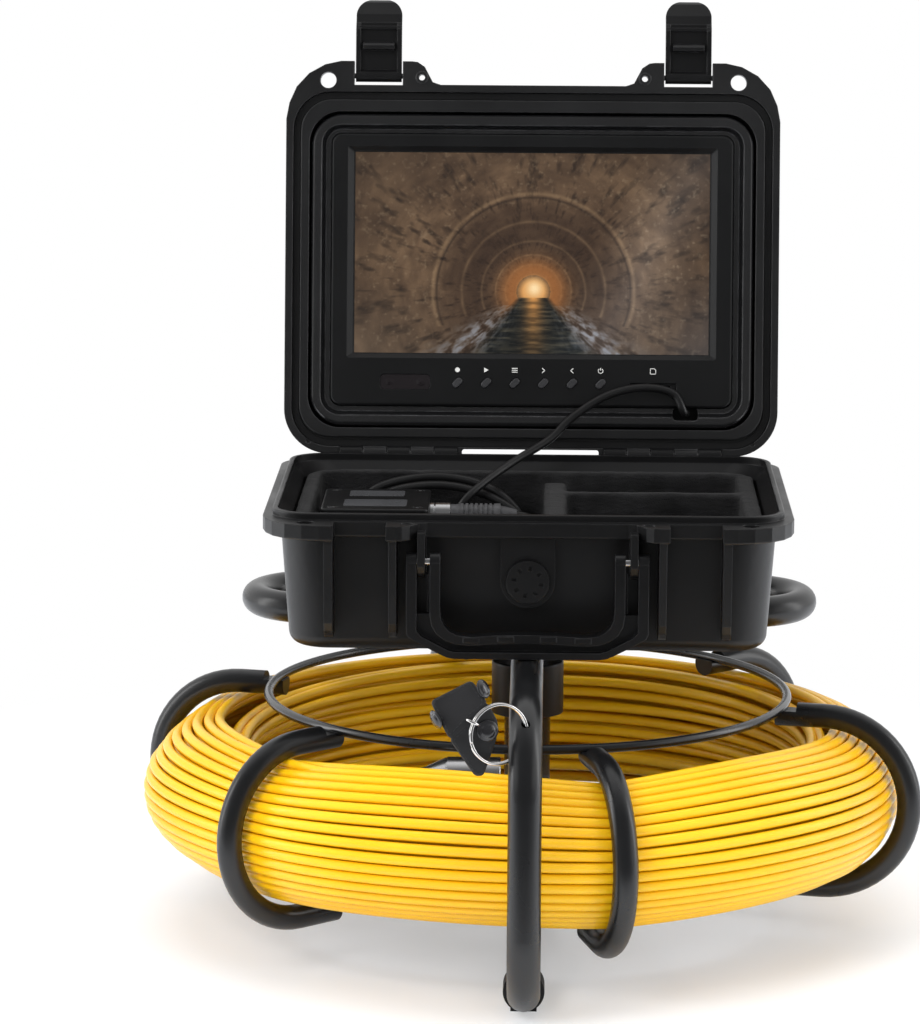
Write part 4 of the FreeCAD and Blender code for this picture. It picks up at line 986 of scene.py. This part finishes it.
def pipe_view(u, v):
    """Linear colours of a view down a round stone pipe; u runs across and v up, 0 to 1."""
    x, y = (u - VANISH_ACROSS) * VIEW_WIDTH, (v - VANISH_UP) * VIEW_HEIGHT
    r = np.hypot(x, y * 1.04) + 1e-3
    log_r = np.log(r)
    around = (np.arctan2(y, x) + np.pi) / (2 * np.pi)
    streaks = layered_noise(around * 150, log_r * 9, seed=3, octaves=3)
    mottle = layered_noise(around * 44, log_r * 14, seed=21, octaves=4)
    spots = layered_noise(u * 90, v * 52, seed=33, octaves=3)
    patches = layered_noise(u * 6, v * 4, seed=50, octaves=3)

    # stone wall, darker in a band part way down the pipe
    blank = np.ones((*u.shape, 3)) * (np.array((60, 45, 33)) / 255.0)
    wall = paint(blank, (136, 109, 82), mottle * 0.75 + 0.10 + 0.55 * (patches - 0.5))
    wall = paint(wall, (32, 24, 17), (0.46 - streaks) * 2.1)
    wall = paint(wall, (176, 154, 124), (spots - 0.62) * 1.3 * (r > 90))
    wall = paint(wall, (44, 31, 22), 0.62 * bell(r - 62, 38.0))
    for radius, width, strength, colour in JOINTS:
        line = bell(r - radius, width) * (y > -0.35 * radius)
        wall = paint(wall, colour, 0.62 * strength * line * (0.45 + 0.9 * mottle))

    # warm light at the far end
    wall = paint(wall, (168, 104, 52), 0.75 * bell(r - 21, 14.0) * (r > 17))
    wall = paint(wall, (214, 150, 82), (1 - r / 19.0) * 2.2)
    wall = paint(wall, (255, 224, 172), bell(np.hypot(x - 1, y - 3), 8.0))

    # wet pipe bottom with a streak of reflected light
    depth = np.clip(-y, 0, None)
    half = 10 + 0.95 * depth
    wet = (1 - np.clip((np.abs(x) - half * 0.72) / (half * 0.28 + 1), 0, 1)) * (y < -6)
    ripple = layered_noise(x / 14 + 40, depth / 2.2, seed=61, octaves=3)
    still = np.ones((*u.shape, 3)) * (np.array((16, 18, 16)) / 255.0)
    water = paint(still, (66, 62, 50), (ripple - 0.38) * 2.0)
    gold = bell(x, 8 + 0.06 * depth) * np.exp(-depth / 42.0)
    water = paint(water, (226, 156, 82), gold * (0.55 + 0.7 * ripple))
    wall = paint(wall, water, wet)
    glint = bell(np.abs(x) - half * 1.15, 0.36 * half + 3) * (y < -14)
    sparkle = np.clip((streaks - 0.36) * 2.4, 0, 0.85) * np.clip(depth / 40, 0, 1)
    wall = paint(wall, (150, 152, 158), glint * sparkle)

    # cool light low on the right, warm haze low on the left, a slanting glare, dim corners
    cool = np.clip((x - 60) / 130, 0, 1) * np.clip((30 - y) / 90, 0, 1)
    wall = paint(wall, (118, 124, 138), 0.42 * cool)
    haze = np.clip((-x - 60) / 120, 0, 1) * np.clip((10 - y) / 70, 0, 1)
    wall = paint(wall, (150, 138, 124), 0.25 * haze)
    glare = np.clip(1 - np.abs((x - 95) - 0.55 * y) / 60, 0, 1) * 0.10
    wall = np.clip(wall + glare[..., None] * np.array([0.9, 1.0, 1.15]), 0, 1)
    corner = np.clip(np.hypot(x / 185, (y - 30) / 120) - 0.55, 0, 1)
    wall = wall * (1 - 0.35 * corner)[..., None]
    # sRGB to linear
    return np.where(wall <= 0.04045, wall / 12.92, ((wall + 0.055) / 1.055) ** 2.4)


def picture_material():
    """Glows with the vertex colours, under a faint grain."""
    mat = Material("monitor_picture")
    stored = mat.node("ShaderNodeVertexColor", layer_name="scene_colour")
    grain = mat.remap(mat.noise(2600.0, detail=2.0, rough=0.7), to=(0.93, 1.06))
    grey = mat.node("ShaderNodeCombineXYZ")
    for socket in grey.inputs:
        mat.feed(socket, grain)
    mat.principled({
        "Emission Color": mat.mix(1.0, stored.outputs["Color"], grey.outputs[0], "MULTIPLY"),
        "Emission Strength": 1.0,
        "Base Color": (0.004, 0.004, 0.005),
        "Roughness": mat.remap(mat.noise(40.0), to=(0.10, 0.16)),
        "Specular IOR Level": 0.4,
    })
    return mat.data


def picture():
    """A flat grid just behind the screen, with the view stored as vertex colour."""
    columns, rows = PICTURE_COLUMNS, PICTURE_ROWS
    u, v = np.meshgrid(np.linspace(0, 1, columns), np.linspace(0, 1, rows))
    across = -PICTURE_HALF_WIDTH + 2 * PICTURE_HALF_WIDTH * u
    along = PICTURE_BOTTOM + (PICTURE_TOP - PICTURE_BOTTOM) * v
    points = (np.array(lid_point(0, 0, PICTURE_DEPTH))[None, None, :]
              + across[..., None] * MM * np.array(LID_ACROSS)
              + along[..., None] * MM * np.array(LID_ALONG))
    index = np.arange(columns * rows).reshape(rows, columns)
    corners = [index[:-1, :-1], index[:-1, 1:], index[1:, 1:], index[1:, :-1]]
    faces = np.stack(corners, -1).reshape(-1, 4)
    obj = new_object("monitor_picture", [(points, faces)], picture_material())
    colours = obj.data.color_attributes.new("scene_colour", "FLOAT_COLOR", "POINT")
    rgb = pipe_view(u, v).reshape(-1, 3)
    rgba = np.concatenate([rgb, np.ones((len(rgb), 1))], 1).astype(np.float32)
    colours.data.foreach_set("color", rgba.ravel())
    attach(obj, "lid")


picture()

# ----------------------------------------------------------------- printed symbols on the bezel
# Outlines are lists of (x across, distance from the hinge line).
BEZEL_FACE_DEPTH = 0.75
SYMBOL_ALONG = 47.6
SYMBOL_X = [-41.3 + 16.1 * k for k in range(6)]
CARD_X = 68.6
CARD_OUTLINE = [(-1.5, -1.5), (1.5, -1.5), (1.5, 0.7), (0.7, 1.5), (-1.5, 1.5)]
IR_LENSES = [(-79.6, 1.9), (-61.8, 2.3)]       # x, radius


def printed(outline, sunk=0.02, proud=0.08):
    """A thin prism, sunk into the bezel's face and standing proud of it."""
    n = len(outline)
    inner = [list(lid_point(x, t, BEZEL_FACE_DEPTH + sunk)) for x, t in outline]
    outer = [list(lid_point(x, t, BEZEL_FACE_DEPTH - proud)) for x, t in outline]
    faces = [tuple(range(n)), tuple(range(2 * n - 1, n - 1, -1))]
    faces += [(i, (i + 1) % n, n + (i + 1) % n, n + i) for i in range(n)]
    return np.array(inner + outer), faces


def disc(x, t, radius, sides=20):
    angles = [2 * math.pi * k / sides for k in range(sides)]
    return [(x + radius * math.cos(a), t + radius * math.sin(a)) for a in angles]


def bar(start, end, width):
    (x0, t0), (x1, t1) = start, end
    dx, dt = x1 - x0, t1 - t0
    length = math.hypot(dx, dt)
    nx, nt = -dt / length * width / 2, dx / length * width / 2
    return [(x0 + nx, t0 + nt), (x1 + nx, t1 + nt), (x1 - nx, t1 - nt), (x0 - nx, t0 - nt)]


def symbol_outlines():
    """Dot, triangle, three bars, two chevrons, open ring with a bar, and a card."""
    dot_x, triangle_x, bars_x, right_x, left_x, ring_x = SYMBOL_X
    t = SYMBOL_ALONG
    outlines = [disc(dot_x, t, radius=1.35)]
    outlines.append([(triangle_x - 1.1, t - 1.4), (triangle_x - 1.1, t + 1.4),
                     (triangle_x + 1.4, t)])
    for k in (-1, 0, 1):
        level = t + 1.05 * k
        outlines.append(bar((bars_x - 1.6, level), (bars_x + 1.6, level), width=0.45))
    for way, x in ((1, right_x), (-1, left_x)):
        for rise in (1.3, -1.3):
            outlines.append(bar((x - 0.7 * way, t + rise), (x + 0.8 * way, t), width=0.45))
    outlines.append(bar((ring_x, t + 0.2), (ring_x, t + 1.7), width=0.42))
    angles = [math.radians(125 + 29 * k) for k in range(11)]
    arc = [(ring_x + 1.35 * math.cos(a), t + 1.35 * math.sin(a)) for a in angles]
    outlines += [bar(a, b, width=0.4) for a, b in zip(arc, arc[1:])]
    card = [(CARD_X + x, t + y) for x, y in CARD_OUTLINE]
    outlines += [bar(a, b, width=0.35) for a, b in zip(card, card[1:] + card[:1])]
    return outlines


def symbols():
    white = finish("printed_white", (0.62, 0.62, 0.60), rough=0.5,
                   grain=(2500.0, 0.1, 0.00005), colour_drift=0.08)
    parts = [printed(outline) for outline in symbol_outlines()]
    obj = new_object("bezel_symbols", parts, white, smooth=False)
    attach(obj, "lid")


def ir_lenses():
    """Two round lenses at the infrared window."""
    parts = []
    for x, radius in IR_LENSES:
        profile = [(0.0, 0.0), (0.0, radius), (0.15, radius), (0.34, radius * 0.86),
                   (0.22, radius * 0.7), (0.5, radius * 0.35), (0.6, 0.0)]
        parts.append(lathe(profile, lid_point(x, 40.7, 1.38), -LID_INWARD, sides=28))
    obj = new_object("ir_lenses", parts, MATERIALS["ir_red"])
    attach(obj, "lid")


symbols()
ir_lenses()

# ----------------------------------------------------------------- battery box details
BATTERY_TOP_Z = 229.0
LABEL_THICK, LABEL_CORNER_R = 0.25, 1.5
LABELS = [     # name, x range, y range
    ("battery_label_top", (-98, -68), (20, 36)),
    ("battery_label_front", (-100, -66), (-12, 8)),
]
SCREW_PROFILE = [(-2.2, 2.7), (-0.4, 2.7), (-0.1, 2.2), (0.0, 1.0), (-0.7, 0.9), (-0.8, 0.0)]
SCREW_PLACES = [(-106, -16), (-60, -16), (-106, 38), (-60, 38)]


def label(name, x_range, y_range, material):
    """A thin rounded plate lying on the battery box's top face."""
    (x0, x1), (y0, y1), r = x_range, y_range, LABEL_CORNER_R
    outline = []
    corners = ((x1 - r, y1 - r, 0), (x0 + r, y1 - r, 90), (x0 + r, y0 + r, 180),
               (x1 - r, y0 + r, 270))
    for x, y, start in corners:
        for k in range(6):
            a = math.radians(start + 18 * k)
            outline.append((x + r * math.cos(a), y + r * math.sin(a)))
    mid_x, mid_y = (x0 + x1) / 2, (y0 + y1) / 2
    rings = []
    for height, scale in ((0, 1.0), (LABEL_THICK * 0.7, 1.0), (LABEL_THICK, 0.992)):
        rings.append([((mid_x + (x - mid_x) * scale) * MM, (mid_y + (y - mid_y) * scale) * MM,
                       (BATTERY_TOP_Z + height) * MM) for x, y in outline])
    obj = new_object(name, [capped(np.array(rings))], material, smooth=False)
    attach(obj, "stand")


label_material = finish("blank_label", (0.055, 0.056, 0.06), rough=0.30,
                        grain=(1200.0, 0.05, 0.00005), colour_drift=0.1, coat=0.2)
for label_name, x_range, y_range in LABELS:
    label(label_name, x_range, y_range, label_material)

screw_parts = [lathe(SCREW_PROFILE, Vector((x, y, BATTERY_TOP_Z)) * MM, (0, 0, 1), sides=24)
               for x, y in SCREW_PLACES]
screws = new_object("battery_box_screws", screw_parts, MATERIALS["dark_steel"])
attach(screws, "stand")


# ----------------------------------------------------------------- floor and world
def floor_material():
    """Pale paper that the camera sees fade to white away from the object."""
    mat = Material("floor_paper")
    mat.principled({
        "Base Color": mat.mix(mat.remap(mat.noise(3.0)), (0.875, 0.895, 0.93),
                              (0.905, 0.925, 0.96)),
        "Roughness": 0.75,
        "Specular IOR Level": 0.2,
    })
    x, y, _ = mat.axes("Object")
    squares = mat.math("ADD", mat.math("MULTIPLY", x, x), mat.math("MULTIPLY", y, y))
    fade = mat.remap(mat.math("SQRT", squares, 0.0), span=(0.22, 0.62), to=(0.34, 1.0))
    rays = mat.node("ShaderNodeLightPath").outputs
    paper = mat.mix_shader(mat.math("MULTIPLY", fade, rays["Is Camera Ray"]),
                           mat.bsdf.outputs[0], mat.glow("ShaderNodeEmission", 1.0))
    # reflections see the floor in front of the object as unlit
    front = mat.remap(y, span=(-0.55, -0.30), to=(1.0, 0.0))
    mat.feed(mat.surface, mat.mix_shader(mat.math("MULTIPLY", front, rays["Is Glossy Ray"]),
                                         paper, mat.glow("ShaderNodeEmission", 0.10)))
    return mat.data


def floor():
    half = 8.0
    corners = [(-half, -half, 0), (half, -half, 0), (half, half, 0), (-half, half, 0)]
    obj = new_object("floor", [(corners, [(0, 1, 2, 3)])], floor_material(), smooth=False)


def studio_world():
    """White to the camera; reflections see it bright behind and beside, dark in front."""
    data = bpy.data.worlds.new("studio")
    bpy.context.scene.world = data
    world = Shader(data, "ShaderNodeOutputWorld")
    x, y, _ = world.axes("Generated")
    behind = world.remap(y, span=(-0.55, 0.35), to=(0.15, 0.95), interpolation="SMOOTHSTEP")
    beside = world.remap(world.math("ABSOLUTE", x), span=(0.62, 0.90), to=(0.0, 1.05),
                         interpolation="SMOOTHSTEP")
    ambient = world.glow("ShaderNodeBackground", 0.56)
    backdrop = world.glow("ShaderNodeBackground", 1.0)
    reflected = world.glow("ShaderNodeBackground", world.math("MAXIMUM", behind, beside))
    rays = world.node("ShaderNodeLightPath").outputs
    lighting = world.mix_shader(rays["Is Glossy Ray"], ambient, reflected)
    world.feed(world.surface, world.mix_shader(rays["Is Camera Ray"], lighting, backdrop))


floor()
studio_world()

# ----------------------------------------------------------------- lights
LIGHTS = [     # name, place, height aimed at, width, height, watts, seen in reflections
    ("key", (-1.5, -1.9, 1.9), 0.15, 1.3, 1.3, 46.0, False),
    ("fill", (1.9, -1.6, 1.2), 0.15, 1.2, 1.6, 18.0, False),
    ("top", (0.0, 0.2, 2.4), 0.1, 2.2, 2.2, 40.0, False),
    ("front", (-0.2, -3.1, 0.9), 0.1, 1.6, 1.0, 13.0, False),
    ("strip_left", (-1.9, 0.1, 0.7), 0.15, 0.5, 1.6, 9.0, True),
    ("strip_right", (1.9, 0.2, 0.7), 0.15, 0.5, 1.6, 7.0, True),
]


def area_light(name, place, aim_z, width, height, watts, reflected):
    data = bpy.data.lights.new(name, "AREA")
    data.energy = watts
    data.shape = "RECTANGLE"
    data.size = width
    data.size_y = height
    obj = add_object(name, data)
    obj.location = place
    obj.rotation_mode = "QUATERNION"
    aim = Vector((0, 0, aim_z)) - Vector(place)
    obj.rotation_quaternion = aim.to_track_quat("-Z", "Y")
    obj.visible_glossy = reflected


for light in LIGHTS:
    area_light(*light)

# ----------------------------------------------------------------- camera
CAMERA_TURN = math.radians(-1.112)           # about the z axis
CAMERA_PITCH = math.radians(9.951)           # downwards
CAMERA_ROLL = math.radians(0.314)
CAMERA_PLACE = (-37.30, -2411.55, 647.25)    # before the turn


def turned(x, y, z):
    cos, sin = math.cos(CAMERA_TURN), math.sin(CAMERA_TURN)
    return x * cos + y * sin, -x * sin + y * cos, z


def camera():
    data = bpy.data.cameras.new("cam")
    obj = add_object("cam", data)
    bpy.context.scene.camera = obj
    obj.location = [c * MM for c in turned(*CAMERA_PLACE)]
    level_right = Vector(turned(1, 0, 0))
    forward = Vector(turned(0, math.cos(CAMERA_PITCH), -math.sin(CAMERA_PITCH)))
    level_up = Vector(turned(0, math.sin(CAMERA_PITCH), math.cos(CAMERA_PITCH)))
    right = level_right * math.cos(CAMERA_ROLL) + level_up * math.sin(CAMERA_ROLL)
    up = level_up * math.cos(CAMERA_ROLL) - level_right * math.sin(CAMERA_ROLL)
    obj.rotation_mode = "QUATERNION"
    obj.rotation_quaternion = Matrix((right, up, -forward)).transposed().to_quaternion()
    data.sensor_width = 36.0
    data.sensor_fit = "AUTO"
    data.lens = 159.2015625
    data.clip_start = 0.05
    data.clip_end = 30.0


camera()
bpy.context.scene.view_settings.view_transform = "Standard"
bpy.context.scene.view_settings.look = "None"
